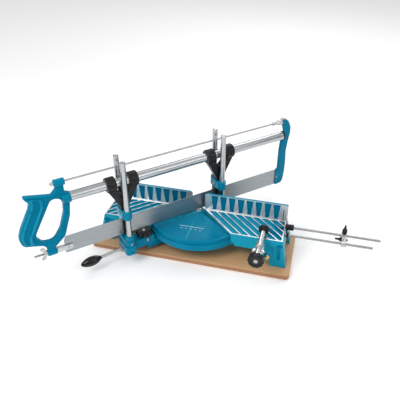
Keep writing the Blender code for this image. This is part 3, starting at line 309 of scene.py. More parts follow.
def limits(node, turn=0.0):
    """Lowest and highest corner of a CAD node in the frame turned about Z, in millimetres."""
    back = Matrix.Rotation(-turn, 3, "Z")
    points = [back @ vertex.co / MM for vertex in frame["nodes"][node].data.vertices]
    return [Vector([pick(point[axis] for point in points) for axis in range(3)]) for pick in (min, max)]


def arm_limits(node):
    return limits(node, ARM_TURN)


def middle(node, turn=0.0):
    low, high = limits(node, turn)
    return (low + high) / 2


def arm_middle(node):
    return middle(node, ARM_TURN)


# ---------------------------------------------------------------- shapes

def shape_from(mesh, at=(0, 0, 0), turn=(0, 0, 0)):
    """An object whose mesh, in millimetres, is turned, moved and brought to metres."""
    place = Matrix.Translation(Vector(at)) @ Euler(turn).to_matrix().to_4x4()
    mesh.transform(Matrix.Scale(MM, 4) @ place)
    made = bpy.data.objects.new("shape", mesh)
    bpy.context.scene.collection.objects.link(made)
    return made


def from_bmesh(shape, at=(0, 0, 0), turn=(0, 0, 0)):
    bmesh.ops.recalc_face_normals(shape, faces=shape.faces)
    mesh = bpy.data.meshes.new("shape")
    shape.to_mesh(mesh)
    shape.free()
    return shape_from(mesh, at, turn)


def box(low, high, edge=0.6, turn=(0, 0, 0)):
    """A box between two corners with rounded edges."""
    shape = bmesh.new()
    size = Vector(high) - Vector(low)
    place = Matrix.Translation((Vector(low) + Vector(high)) / 2) @ Matrix.Diagonal((*size, 1))
    bmesh.ops.create_cube(shape, size=1, matrix=place)
    if edge:
        bmesh.ops.bevel(shape, geom=list(shape.edges), offset=edge, segments=3, profile=0.5, affect="EDGES")
    return from_bmesh(shape, turn=turn)


def rounded(corners, steps=6):
    """An outline from (x, y, radius) corners, each one turned into an arc."""
    outline = []
    for index, corner in enumerate(corners):
        here = Vector(corner[:2])
        radius = corner[2] if len(corner) > 2 else 0
        first = Vector(corners[index - 1][:2]) - here
        second = Vector(corners[(index + 1) % len(corners)][:2]) - here
        opening = first.angle(second, math.pi)
        if radius <= 0 or opening > math.radians(177):
            outline.append(tuple(here))
            continue
        reach = min(radius / math.tan(opening / 2), 0.49 * min(first.length, second.length))
        radius = reach * math.tan(opening / 2)
        bisector = (first.normalized() + second.normalized()).normalized()
        centre = here + bisector * math.hypot(radius, reach)
        start = here + first.normalized() * reach - centre
        end = here + second.normalized() * reach - centre
        begin = math.atan2(start.y, start.x)
        sweep = (math.atan2(end.y, end.x) - begin + math.pi) % (2 * math.pi) - math.pi
        for step in range(steps + 1):
            angle = begin + sweep * step / steps
            outline.append((centre.x + radius * math.cos(angle), centre.y + radius * math.sin(angle)))
    return outline


def rectangle(low_x, low_y, high_x, high_y, corner=0, steps=12):
    """The outline of a rectangle with round corners."""
    return rounded([(low_x, low_y, corner), (high_x, low_y, corner), (high_x, high_y, corner),
        (low_x, high_y, corner)], steps)


def area(outline):
    return sum(a[0] * b[1] - b[0] * a[1] for a, b in zip(outline, outline[1:] + outline[:1])) / 2


def plate(outlines, thickness, at=(0, 0, 0), turn=(0, 0, 0), edge=0.6, edge_steps=2):
    """A flat plate with rounded rims; outlines after the first are holes.  It is centred on its plane."""
    data = bpy.data.curves.new("plate", "CURVE")
    data.dimensions = "2D"
    data.fill_mode = "BOTH"
    data.extrude = thickness / 2 - edge
    data.bevel_depth = edge
    data.bevel_resolution = edge_steps
    data.offset = -edge
    for index, outline in enumerate(outlines):
        if (area(outline) > 0) == (index > 0):
            outline = outline[::-1]
        spline = data.splines.new("POLY")
        spline.points.add(len(outline) - 1)
        for point, (x, y) in zip(spline.points, outline):
            point.co = (x, y, 0, 1)
        spline.use_cyclic_u = True
    return from_curve(data, at, turn)


def wire(route, radius, steps=5):
    """A round bar along a route, with filled ends."""
    data = bpy.data.curves.new("wire", "CURVE")
    data.dimensions = "3D"
    data.bevel_depth = radius
    data.bevel_resolution = steps
    data.use_fill_caps = True
    spline = data.splines.new("POLY")
    spline.points.add(len(route) - 1)
    for point, place in zip(spline.points, route):
        point.co = (*place, 1)
    return from_curve(data)


def from_curve(data, at=(0, 0, 0), turn=(0, 0, 0)):
    curve = bpy.data.objects.new("curve", data)
    bpy.context.scene.collection.objects.link(curve)
    bpy.context.view_layer.update()
    mesh = bpy.data.meshes.new_from_object(curve.evaluated_get(bpy.context.evaluated_depsgraph_get()))
    bpy.data.objects.remove(curve, do_unlink=True)
    shape = bmesh.new()
    shape.from_mesh(mesh)
    bmesh.ops.remove_doubles(shape, verts=shape.verts, dist=0.0005)
    bmesh.ops.dissolve_degenerate(shape, edges=shape.edges, dist=0.0005)
    return from_bmesh(shape, at, turn)


def lathe(corners, at=(0, 0, 0), axis="Z", sides=48, closed=False, sweep=360.0, steps=3, start=0.0):
    """A turned solid from (radius, height, corner radius) corners; `closed` makes a ring."""
    profile = rounded(corners, steps)
    shape = bmesh.new()
    points = [shape.verts.new((radius, 0, height)) for radius, height in profile]
    bmesh.ops.rotate(shape, verts=points, matrix=Matrix.Rotation(math.radians(start), 3, "Z"))
    pairs = list(zip(points, points[1:]))
    if closed:
        pairs.append((points[-1], points[0]))
    lines = [shape.edges.new(pair) for pair in pairs]
    caps = [shape.faces.new(points)] if sweep < 360 else []
    bmesh.ops.spin(shape, geom=points + lines + caps, axis=(0, 0, 1), cent=(0, 0, 0),
        angle=math.radians(sweep), steps=sides)
    bmesh.ops.remove_doubles(shape, verts=shape.verts, dist=0.0005)
    bmesh.ops.dissolve_degenerate(shape, edges=shape.edges, dist=0.0005)
    return from_bmesh(shape, at, AXIS_TURN[axis])


def rod(radius, length, at, axis="Z", sides=32, edge=0.4):
    """A plain shaft from `at` along the axis, with chamfered ends."""
    return lathe([(0, length), (radius, length, edge), (radius, 0, edge), (0, 0)], at, axis, sides)


def hole(radius, length, at, axis="Z", sides=32):
    """The cutter of a plain hole from `at` along the axis."""
    return rod(radius, length, at, axis, sides, 0)


def prism(low_outline, high_outline, low_z, high_z):
    """A tapered block between two outlines that have the same number of points."""
    shape = bmesh.new()
    low = [shape.verts.new((x, y, low_z)) for x, y in low_outline]
    high = [shape.verts.new((x, y, high_z)) for x, y in high_outline]
    shape.faces.new(low)
    shape.faces.new(high)
    for i in range(len(low)):
        j = (i + 1) % len(low)
        shape.faces.new((low[i], low[j], high[j], high[i]))
    return from_bmesh(shape)


def thread(radius, start, end, pitch=1.5):
    """Profile corners of a screw thread, from the higher end down."""
    corners = []
    count = int((end - start) / pitch)
    for number in range(count):
        top = end - number * pitch
        corners += [(radius, top - 0.35 * pitch), (radius - 0.42 * pitch, top - 0.85 * pitch)]
    return corners


def lobed(radius, depth, lobes, steps=8, sharpness=2):
    """A hand knob's scalloped outline."""
    outline = []
    for index in range(lobes * steps):
        angle = 2 * math.pi * index / (lobes * steps)
        reach = radius - depth * (0.5 - 0.5 * math.cos(lobes * angle)) ** sharpness
        outline.append((reach * math.cos(angle), reach * math.sin(angle)))
    return outline


def hexagon(radius, edge=0.5):
    angles = [math.radians(60 * corner) for corner in range(6)]
    return rounded([(radius * math.cos(angle), radius * math.sin(angle), edge) for angle in angles], 2)


# ---------------------------------------------------------------- pieces

def moved(target, at, turn=(0, 0, 0)):
    """Turns a finished shape about the origin and takes it to `at`, in millimetres."""
    target.data.transform(Matrix.Translation(Vector(at) * MM) @ Euler(turn).to_matrix().to_4x4())
    return target


def combine(target, tools, operation):
    """Applies a Boolean with each tool and removes the tools."""
    for tool in tools:
        step = target.modifiers.new(operation.lower(), "BOOLEAN")
        step.operation = operation
        step.object = tool
        step.solver = "EXACT"
    apply_modifiers(target)
    for tool in tools:
        bpy.data.objects.remove(tool, do_unlink=True)
    return target


def join(target, *tools):
    return combine(target, tools, "UNION")


def cut(target, *tools):
    return combine(target, tools, "DIFFERENCE")


def apply_modifiers(target):
    bpy.context.view_layer.update()
    graph = bpy.context.evaluated_depsgraph_get()
    mesh = bpy.data.meshes.new_from_object(target.evaluated_get(graph))
    target.modifiers.clear()
    old = target.data
    target.data = mesh
    bpy.data.meshes.remove(old)


def soften(target, width):
    """Rounds the sharp edges."""
    bevel = target.modifiers.new("soften", "BEVEL")
    bevel.width = width * MM
    bevel.segments = 2
    bevel.limit_method = "ANGLE"
    bevel.angle_limit = math.radians(35)
    bevel.use_clamp_overlap = True
    apply_modifiers(target)
    return target


def together(first, *others):
    """Joins shapes that don't touch into one mesh."""
    shape = bmesh.new()
    for part in (first, *others):
        shape.from_mesh(part.data)
    shape.to_mesh(first.data)
    shape.free()
    for part in others:
        bpy.data.objects.remove(part, do_unlink=True)
    return first


def stand_in(target, node, name=None, slot=None, turn=0.0, extra=(), paint=None):
    """Names a finished shape, gives it its materials and body, and lets it stand for its CAD node."""
    target.name = name or f"{node}_look"
    target.data.name = target.name
    if turn:
        target.data.transform(Matrix.Rotation(turn, 4, "Z"))
    target.data.materials.clear()
    for key in (slot or SLOT_OF[node], *extra):
        target.data.materials.append(MATERIALS[key])
    for face in target.data.polygons:
        face.material_index = paint(face) if paint else 0
    target.data.shade_smooth()
    target.data.set_sharp_from_angle(angle=math.radians(35))
    normals = target.modifiers.new("flat_faces", "WEIGHTED_NORMAL")
    normals.keep_sharp = True
    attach(target, BODY_OF[node])
    slot if slot in SLOT_OF.values() else SLOT_OF[node]
    if name is None:
        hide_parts(node)
    return target


def arm_piece(target, node, **options):
    """A stand-in for a shape that was made in the arm's frame."""
    return stand_in(target, node, turn=ARM_TURN, **options)


def cross_recess(size, height):
    """The cutter of a cross-head recess in a face at that height."""
    depth, half_width = 1.6, 0.45
    bars = [box((-x, -y, height - depth), (x, y, height + 1), 0) for x,
        y in ((size / 2, half_width), (half_width, size / 2))]
    return join(*bars)


def screw(node, at, axis, head, height, shank, length, turn=0.0, recess="cross"):
    """A pan-head screw: `at` is the head's seat and the axis points out of the head."""
    body = lathe([(0, height), (head * 0.62, height, 1.2), (head, height * 0.35, 0.8), (head, 0, 0.2),
        (shank, 0)] + thread(shank, -length, -0.6, 1.0) + [(shank - 0.4, -length), (0, -length)], sides=32)
    if recess == "cross":
        cut(body, cross_recess(head * 1.1, height))
    else:
        cut(body, box((-head * 1.5, -0.5, height - 1.2), (head * 1.5, 0.5, height + 1), 0))
    return stand_in(moved(body, at, AXIS_TURN[axis]), node, turn=turn)


def wing_nut(hub, height, reach, bore, at, turn):
    """A wing nut whose hub stands on `at`; its wings rise along the hub's axis."""
    wing = rounded([(0, height * 0.15), (hub, height * 0.1), (reach - 1.5, height * 0.65, 4),
        (reach, height * 1.9, 3), (reach - 6, height * 1.9, 3), (hub * 0.65, height * 0.9, 2),
        (0, height * 0.85)], 5)
    outline = wing + [(-x, z) for x, z in reversed(wing)]
    body = lathe([(bore, height, 0.3), (hub * 0.78, height, 0.8), (hub, 0.8, 1), (hub * 0.95, 0, 0.3),
        (bore, 0, 0.3)], sides=40, closed=True)
    wings = plate([outline], 3.2, turn=UPRIGHT, edge=1.2, edge_steps=3)
    cut(wings, rod(bore + 0.2, height * 4, (0, 0, -height)))
    return moved(join(body, wings), at, turn)


# ---------------------------------------------------------------- board and bed

def make_board():
    low, high = limits("base_board")
    corner = 9
    board = plate([rectangle(low.x, low.y, high.x, high.y, corner)], high.z, (0, 0, high.z / 2), edge=2.6,
        edge_steps=4)
    quirk_depth, quirk_width, quirk_height = 0.7, 0.7, 6.6
    inner = rectangle(low.x + quirk_depth, low.y + quirk_depth, high.x - quirk_depth, high.y - quirk_depth,
        corner)
    outer = rectangle(low.x - 5, low.y - 5, high.x + 5, high.y + 5)
    cut(board, plate([outer, inner], quirk_width, (0, 0, quirk_height), edge=0))
    for number in range(1, 5):
        place = middle(f"bed_screw_{number}")
        cut(board, hole(6, 9, (place.x, place.y, -4)), hole(2.8, 30, (place.x, place.y, -4)))
        screw(f"bed_screw_{number}", (place.x, place.y, 4.7), "-Z", 5.2, 3.6, 2.3, 19)
    stand_in(board, "base_board")


def table_outline(front, end, back, bay_back):
    """Half of the bed in plan: the side next to the fan runs at 45 degrees from the fence gap."""
    return [(THROAT, bay_back), (THROAT, 0), (THROAT - front, front), (end, front), (end, back),
        (REAR_BAY, back), (REAR_BAY, bay_back)]


def mirrored(outline, side):
    return [(side * x, y) for x, y in outline]


def rib_grooves(side):
    """Recesses between the 45-degree ribs, each cut off at the table's border."""
    border = 3.0
    front = TABLE_FRONT + border
    end = TABLE_HALF - border
    slant = RIB_WIDTH * math.sqrt(2)
    grooves = []
    start = THROAT + 8
    while start < end:
        low = start + slant / 2
        high = start + RIB_PITCH - slant / 2
        outline = [(low, -border), (high, -border), (high - border - front, front),
            (low - border - front, front)]
        kept = clip_right(outline, end)
        if len(kept) > 2:
            grooves.append(mirrored(kept, side))
        start += RIB_PITCH
    return grooves


def clip_right(outline, limit):
    """The part of an outline with x below the limit."""
    kept = []
    for index, (x, y) in enumerate(outline):
        last_x, last_y = outline[index - 1]
        if (x < limit) != (last_x < limit):
            share = (limit - last_x) / (x - last_x)
            kept.append((limit, last_y + share * (y - last_y)))
        if x < limit:
            kept.append((x, y))
    return kept


def make_table(side, low, high):
    """One ribbed table on its two legs, open below and next to the fan."""
    bottom, back, end = low.z, high.y, high.x
    rims = []
    cavity_rims = []
    for front, half, rear in ((FOOT_FRONT, end, back), (TABLE_FRONT, TABLE_HALF, TABLE_BACK)):
        rims.append(mirrored(table_outline(front, half, rear, 8), side))
        cavity_rims.append(mirrored([(8, front + WALL), (half - WALL, front + WALL),
            (half - WALL, rear - WALL), (REAR_BAY + WALL, rear - WALL), (REAR_BAY + WALL, 3), (8, 3)],
            side))
    table = prism(*rims, bottom, TABLE_TOP)
    cavity = prism(*cavity_rims, bottom - 2, TABLE_TOP - DECK)
    arch = rounded([(60, -20), (194, -20), (187, 12, 3), (173, 46, 9), (60, 46)], 6)
    front_arch = plate([[(side * x, z) for x, z in arch]], 400, turn=UPRIGHT, edge=0)
    end_arch = plate([rounded([(-60, 0), (0, 0), (-2, 48, 7), (-58, 48, 7)], 6)], 700, turn=ENDWISE, edge=0)
    arm_room = box((-15, -200, 30), (15, -123.5, 53.4), 0, turn=(0, 0, side * math.radians(45)))
    fan_hollow = hole(FAN_RADIUS - WALL, 50, (0, 0, 11), sides=96)
    cut(table, cavity, front_arch, end_arch, arm_room, fan_hollow)
    for y in (-79, 17):
        join(table, lathe([(0, 62), (7, 62, 1), (7.6, bottom, 0.5), (0, bottom)], (side * 203, y, 0)))
        cut(table, hole(2.6, 30, (side * 203, y, 0)))
    cut(table, *[plate([groove], 2 * RIB_DEPTH, (0, 0, TABLE_TOP), edge=0) for groove in rib_grooves(side)])
    return soften(table, 0.45)


def make_fence(side):
    """A fence half: milled triangular lands with painted recesses between them."""
    plan = [(THROAT, 0.0), (TABLE_HALF, 0.0), (TABLE_HALF, FENCE_THICKNESS),
        (THROAT + FENCE_THICKNESS, FENCE_THICKNESS)]
    fence = plate([mirrored(plan, side)], FENCE_TOP - FAN_TOP, (0, 0, (FENCE_TOP + FAN_TOP) / 2), edge=0)
    recesses = []
    for number in range(8):
        centre = side * (THROAT + 23 + number * RIB_PITCH)
        outline = [(centre - 3.8, TABLE_TOP + 3), (centre + 3.8, TABLE_TOP + 3),
            (centre + 8, FENCE_TOP - 1.5), (centre - 8, FENCE_TOP - 1.5)]
        recesses.append(plate([outline], 2 * FENCE_RECESS, turn=UPRIGHT, edge=0))
    slot_x = side * (TABLE_HALF - 9)
    recesses.append(box((slot_x - 0.9, -2, TABLE_TOP - 2), (slot_x + 0.9, 1.6, 104), 0))
    cut(fence, *recesses)
    soften(fence, 0.3)
    for x in (105, 150, 195):
        gusset = plate([rounded([(5, 68), (13, 68), (13, 78, 3), (5, 111, 2)], 3)], 4, (side * x, 0, 0),
            ENDWISE, 0.8)
        join(fence, gusset)
    return fence


def make_fan():
    """The round front: a stepped, rounded disc sector over a hollow, with the pivot's hub."""
    start = -90 - FAN_HALF_ANGLE
    fan = lathe([(2, 68), (114.5, FAN_TOP, 0.6), (115.4, FAN_TOP + 0.5, 0.5), (118.8, FAN_TOP + 0.4, 1.6),
        (FAN_RADIUS, 57.7, 0.6), (121.9, 57.5, 1.8), (122, RIM_BOTTOM, 1.2), (114, RIM_BOTTOM, 1),
        (114, 61, 3), (2, 61)], sides=72, closed=True, sweep=2 * FAN_HALF_ANGLE, start=start)
    hub = lathe([(5.4, 65.5, 0.4), (17, 65.5, 1), (17, 43.5, 1), (5.4, 43.5, 0.4)], sides=48, closed=True)
    return join(fan, hub)


def make_bed():
    low, high = limits("bed_casting")
    bed = make_fan()
    bridge = box((-REAR_BAY - 3, -2.6, 44.5), (REAR_BAY + 3, 7.6, FAN_TOP - 0.6), 0.8)
    tables = [make_table(side, low, high) for side in (-1, 1)]
    fences = [make_fence(side) for side in (-1, 1)]
    join(bed, bridge, *tables, *fences)
    places = [middle("stop_rod_rear"), middle("stop_rod_front")]
    for place in places:
        join(bed, rod(7, 25, (176, place.y, place.z), "X", 48, 0.8))
    stop_holes = [hole(STOP_ROD_HOLE, 50, (178, place.y, place.z), "X") for place in places]
    cut(bed, box((194, -26, 50), (215, -0.3, 80), 0), hole(PIVOT_HOLE, 60, (0, 0, 20)), *stop_holes,
        hole(CLAMP_SCREW_HOLE, 30, (180, -95, 50), "Y"))

    def paint(face):
        """1 on milled faces, 2 inside the slot at the fence's end, painted near-black as shade, 0 on paint."""
        x, y, z = face.center / MM
        # painted shade: the slot's inner faces take the near-black material
        if abs(abs(x) - (TABLE_HALF - 9)) < 0.95 and z > TABLE_TOP + 0.5 and y > 0.2:
            return 2
        if face.normal.z > 0.3 and abs(z - TABLE_TOP) < 0.5 and y > TABLE_FRONT - 0.6:
            return 1
        if face.normal.y < -0.3 and y < 0.35 and z > TABLE_TOP - 0.2:
            return 1
        return 0

    stand_in(bed, "bed_casting", extra=("bare", "dark"), paint=paint)


def make_fan_marks():
    """Generic raised index marks on the fan: one long bar with five short ticks below it."""
    bar = box((-28.5, -0.6, FAN_TOP - 0.2), (28.5, 0.6, FAN_TOP + 0.5), 0.2)
    ticks = []
    for number in range(5):
        x = -22 + number * 11
        ticks.append(box((x - 2.2, -9, FAN_TOP - 0.2), (x + 2.2, -7.8, FAN_TOP + 0.4), 0.2))
    marks = moved(together(bar, *ticks), (1, -68, 0))
    stand_in(marks, "bed_casting", name="fan_index_marks", slot="pale")


def make_pivot():
    low, high = limits("pivot_bolt")
    bolt = lathe([(0, high.z), (4.6, high.z - 0.3, 2), (6.8, high.z - 1.8, 0.8), (6.8, FAN_TOP + 0.3, 0.2),
        (5, FAN_TOP + 0.3)] + thread(5, low.z, 24) + [(4.4, low.z), (0, low.z)])
    cut(bolt, plate([hexagon(2.6, 0)], 4, (0, 0, high.z), edge=0))
    stand_in(bolt, "pivot_bolt")
    low, high = limits("pivot_nut")
    nut = plate([hexagon(9)], high.z - low.z, (0, 0, (low.z + high.z) / 2), edge=0.5)
    stand_in(cut(nut, hole(SPINDLE_HOLE, 20, (0, 0, 5))), "pivot_nut")


# ---------------------------------------------------------------- clamp and length stop

def make_clamp():
    """A bracket that bends down from its boss to a foot, and the spindle with its pad and knob."""
    pad_low, pad_high = limits("clamp_pad")
    x, _, z = middle("clamp_pad")
    boss_front = limits("clamp_bracket")[0].y
    boss_back = boss_front + 16
    screw_end = limits("clamp_bracket_screw")[1].y
    boss = lathe([(SPINDLE_HOLE, 16, 0.5), (8, 16, 1.2), (9.5, 13.5, 1.2), (9.5, 2.5, 1.2), (8.2, 0, 0.8),
        (SPINDLE_HOLE, 0, 0.5)], (x, boss_front, z), "Y", closed=True)
    arm_route = [(x, boss_back - 8, z - 9)]
    for step in range(13):
        share = step / 12
        arm_route.append((x + 4 * share ** 0.8, boss_back - 7.5 + 16 * share ** 2.6,
            z - 10 - 25 * share ** 0.9))
    arm = wire(arm_route, 6.5)
    foot = box((x - 1, -106, 42), (x + 24, -60, 57), 2.5)
    apron = prism([(0, -90.3), (400, -90.3), (400, 80), (0, 80)],
        [(0, -77.3), (400, -77.3), (400, 80), (0, 80)], 12.3, TABLE_TOP)
    join(boss, arm, foot)
    cut(boss, apron, hole(SPINDLE_HOLE, 60, (x, boss_front - 20, z), "Y"),
        hole(CLAMP_SCREW_HOLE, 60, (180, -120, 50), "Y"))
    stand_in(boss, "clamp_bracket", extra=("blue_paint",), paint=lambda face: int(face.center.z < 0.068))
    screw("clamp_bracket_screw", (180, screw_end - 32, 50), "-Y", 5.5, 6, 3, 31, recess="slot")

    pad = lathe([(0, pad_high.y), (9.5, pad_high.y, 1.2), (11.5, pad_high.y - 2.2, 1),
        (11.5, pad_high.y - 6, 1.2), (7.6, pad_low.y + 4, 1.4), (7.5, pad_low.y, 0.8),
        (5.4, pad_low.y, 0.3), (5.4, pad_low.y + 8), (0, pad_low.y + 8)], (x, 0, z), "Y")
    for ring in (4.0, 7.2):
        cut(pad, lathe([(ring, 1), (ring + 0.8, 1), (ring + 0.8, -0.6), (ring, -0.6)], (x, pad_high.y, z),
            "Y", closed=True))
    stand_in(pad, "clamp_pad")

    low, high = limits("clamp_spindle")
    spindle = lathe([(0, high.y), (3.6, high.y, 0.5), (4.9, high.y - 6, 0.5)]
        + thread(5, low.y + 14, high.y - 12) + [(4.6, low.y + 13.5), (4.6, low.y, 0.6), (0, low.y)],
        (x, 0, z), "Y")
    stand_in(spindle, "clamp_spindle")
    low, high = limits("clamp_knob")
    knob = plate([lobed(17, 1.4, 10)], 12, (x, low.y + 6, z), UPRIGHT, edge=1.8, edge_steps=4)
    join(knob, lathe([(0, 8), (8.6, 8, 1), (9, 0), (0, 0)], (x, low.y + 11, z), "Y"))
    cut(knob, lathe([(0, 1.4), (11, 1.4, 1), (11.6, -2), (0, -2)], (x, low.y, z), "Y"),
        hole(SPINDLE_HOLE, 60, (x, low.y - 20, z), "Y"))
    stand_in(knob, "clamp_knob")
    wing = wing_nut(7.5, 6, 14, SPINDLE_HOLE, (x, limits("clamp_wing_nut")[1].y, z),
        (math.radians(90), 0, 0))
    stand_in(wing, "clamp_wing_nut")


def thumb_screw(node, at, axis, head, length, shank, grip):
    """A moulded thumb screw: plain collar, flat grip and threaded shank."""
    screw_body = lathe([(0, length), (head * 0.6, length, 1), (head * 0.72, length - 3, 1),
        (head, length - 4.5, 0.8), (head, 1, 0.5), (head * 0.7, 0, 0.4), (2.2, 0)]
        + thread(2.2, -shank, -0.5, 0.8) + [(1.8, -shank), (0, -shank)])
    wing = plate([rounded([(-head * 0.45, length - 2), (head * 0.45, length - 2),
        (head * 0.36, length + grip, 1.6), (-head * 0.36, length + grip, 1.6)], 5)], 3, turn=UPRIGHT,
        edge=0.9, edge_steps=3)
    return stand_in(moved(join(screw_body, wing), at, AXIS_TURN[axis]), node)


def make_stop():
    """Two rods with the stop's block, screws, collar and nut."""
    for name in ("stop_rod_rear", "stop_rod_front"):
        low, high = limits(name)
        place = middle(name)
        radius = (high.z - low.z) / 2
        stand_in(rod(radius, high.x - low.x, (low.x, place.y, place.z), "X", 40, 0.8), name)
    low = limits("stop_rod_collar")[0]
    place = middle("stop_rod_collar")
    collar = lathe([(STOP_ROD_HOLE, 0, 0.4), (5.6, 0, 0.5), (5.6, 1.4, 0.4), (7, 1.5, 0.5), (7, 11.4, 0.5),
        (6.2, 12, 0.4), (6.2, 13.2, 0.4), (7, 13.8, 0.5), (7, 23.2, 0.8), (5.4, 24, 0.5),
        (STOP_ROD_HOLE, 24, 0.4)], (low.x, place.y, place.z), "X", closed=True)
    grooves = []
    for number in range(12):
        angle = 2 * math.pi * number / 12
        grooves.append(rod(0.7, 9, (low.x + 14.2, place.y + 7.2 * math.cos(angle),
            place.z + 7.2 * math.sin(angle)), "X", 10, 0.2))
    stand_in(cut(collar, *grooves), "stop_rod_collar")
    low, high = limits("stop_rod_nut")
    place = middle("stop_rod_nut")
    nut = plate([hexagon(6.6)], high.x - low.x, tuple(place), AXIS_TURN["X"], 0.5)
    cut(nut, hole(STOP_ROD_HOLE, 20, (place.x - 10, place.y, place.z), "X"))
    stand_in(nut, "stop_rod_nut", slot="black_plastic")

    block = middle("stop_block")
    rear, front = middle("stop_rod_rear"), middle("stop_rod_front")
    half_gap = (rear.y - front.y) / 2
    centre = Vector((block.x, (rear.y + front.y) / 2, rear.z))
    reach = half_gap + 7
    outline = rounded([(-reach, -6, 4), (-4, -4.5, 3), (4, -4.5, 3), (reach, -7, 5), (reach, 8, 5),
        (reach - 13, 8, 3), (-4, 5, 3), (-reach, 6, 4)], 6)
    body = plate([outline], 10, tuple(centre), ENDWISE, 1.4, 3)
    for side in (-1, 1):
        y = centre.y + side * half_gap
        join(body, rod(5.9, 13, (centre.x - 6.5, y, centre.z), "X", 48, 0.8))
        cut(body, hole(STOP_ROD_HOLE, 40, (centre.x - 20, y, centre.z), "X"))
    cut(body, hole(2.5, 20, (centre.x, rear.y, centre.z + 1)),
        hole(2.5, 30, (centre.x - 15, centre.y, centre.z), "X"))
    stand_in(body, "stop_block")
    thumb_screw("stop_lock_screw", (centre.x, rear.y, centre.z + 8.3), "Z", 5.5, 12, 4.4, 8)
    thumb_screw("stop_face_screw", (centre.x - 5.3, centre.y, centre.z), "-X", 5.5, 6, 14, 8)


# ---------------------------------------------------------------- swing arm

def make_arm():
    """The swing arm's casting: a hub, two blocks with post sockets and the bars between them."""
    front = arm_middle("front_post_near").x
    rear = arm_middle("rear_post_near").x
    foot = arm_limits("front_post_near")[0].z
    knob = arm_middle("lock_knob")
    lever_z = arm_middle("lever_pin").z
    arm = box((front + 5, -14, 30), (-124.5, 14, 52.5), 1.6)
    join(arm, box((-141, -13.5, 20), (rear - 4, 13.5, 41.5), 1.6),
        lathe([(0, 41.1), (20, 41.1, 1), (20, 20.4, 1), (0, 20.4)]))
    blocks = ((front, 27, 13, 28, 50, 8), (front, 26.8, 10.5, 49, BLOCK_TOP - 11, 10.2),
        (rear, 25, 10, 21, 64.5, 8))
    for s, half_width, half_length, low, top, corner in blocks:
        outline = rectangle(s - half_length, -half_width, s + half_length, half_width, corner, 10)
        join(arm, plate([outline], top - low, (0, 0, (top + low) / 2), edge=1.6, edge_steps=4))
    for s in (front, rear):
        for side in (-1, 1):
            join(arm, lathe([(0, BLOCK_TOP), (9.3, BLOCK_TOP, 1.2), (9.3, BLOCK_TOP - 8.5, 0.6),
                (8.4, BLOCK_TOP - 9.2, 0.5), (8.4, BLOCK_TOP - 10.6, 0.5), (9.4, BLOCK_TOP - 11.4, 0.5),
                (9.4, 55), (0, 55)], (s, side * POST_SIDE, 0)))
        cut(arm, box((s - 40, -8, BLOCK_TOP - 9), (s + 40, 8, BLOCK_TOP + 20), 0))
        for side in (-1, 1):
            axis = "-Y" if side < 0 else "Y"
            cut(arm, hole(POST_HOLE, 60, (s, side * POST_SIDE, foot - 0.3)),
                hole(SMALL_SCREW_HOLE, 20, (s, side * (POST_SIDE + 2), 58), axis))
    cut(arm, box((-205, -5, 10), (-112, 5, 42.5), 0), hole(5.4, 60, (0, 0, 5)),
        hole(STUD_HOLE, 20, (knob.x, 0, 43.8)), hole(PIN_HOLE, 80, (front, -40, lever_z), "Y"),
        hole(SMALL_SCREW_HOLE, 9, (-142, -15, 46), "Y"))
    arm_piece(arm, "swing_arm")


def make_posts():
    for node in ("front_post_near", "front_post_far", "rear_post_near", "rear_post_far"):
        low, high = arm_limits(node)
        place = arm_middle(node)
        radius = (high.y - low.y) / 2
        post = lathe([(0, high.z - 1.6), (3.2, high.z - 1.6, 0.4), (4.2, high.z, 0.3),
            (radius, high.z, 1.1), (radius, low.z, 0.4), (0, low.z)], (place.x, place.y, 0), sides=64)
        arm_piece(post, node)
        screw_node = "post_screw_" + node.replace("_post", "")
        low, high = arm_limits(screw_node)
        side = -1 if low.y < 0 else 1
        seat = high.y if side > 0 else low.y
        length = high.y - low.y
        grub = lathe([(0, length), (2.4, length, 0.4), (2.4, 0, 0.3), (0, 0)])
        cut(grub, plate([hexagon(1.2, 0)], 1.6, (0, 0, length), edge=0))
        start = (place.x, seat - side * length, middle(screw_node).z)
        arm_piece(moved(grub, start, AXIS_TURN["Y" if side > 0 else "-Y"]), screw_node)


def make_arm_fittings():
    screw("arm_side_screw", (-142, -14.3, 46), "-Y", 3.8, 2.6, 2.4, 6.8, turn=ARM_TURN)
    low, high = arm_limits("lock_stud")
    s = arm_middle("lock_stud").x
    stud = lathe([(0, high.z), (3.2, high.z, 0.8)] + thread(4, low.z, high.z - 1, 1.25)
        + [(3.4, low.z), (0, low.z)], (s, 0, 0))
    arm_piece(stud, "lock_stud")
    low, high = arm_limits("lock_knob")
    knob = plate([lobed(19, 4, 7)], 10, (s, 0, 60), edge=2.6, edge_steps=4)
    join(knob, lathe([(0, high.z + 0.1), (8, high.z + 0.1, 1), (9.5, 62), (9, 54), (8.6, low.z, 0.6),
        (0, low.z)], (s, 0, 0)))
    arm_piece(cut(knob, hole(STUD_HOLE, 60, (s, 0, 40))), "lock_knob")
    low, high = arm_limits("lever_pin")
    arm_piece(rod(2, high.y - low.y, (arm_middle("lever_pin").x, low.y, (low.z + high.z) / 2), "Y"),
        "lever_pin")
    low, high = arm_limits("lever_spring")
    turns, per_turn = 4, 20
    route = []
    for step in range(turns * per_turn + 1):
        angle = 2 * math.pi * step / per_turn
        route.append(((low.x + high.x) / 2 + 3 * math.cos(angle), 3 * math.sin(angle),
            low.z + 0.3 + (high.z - low.z - 0.6) * step / (turns * per_turn)))
    arm_piece(wire(route, 0.3, 2), "lever_spring")


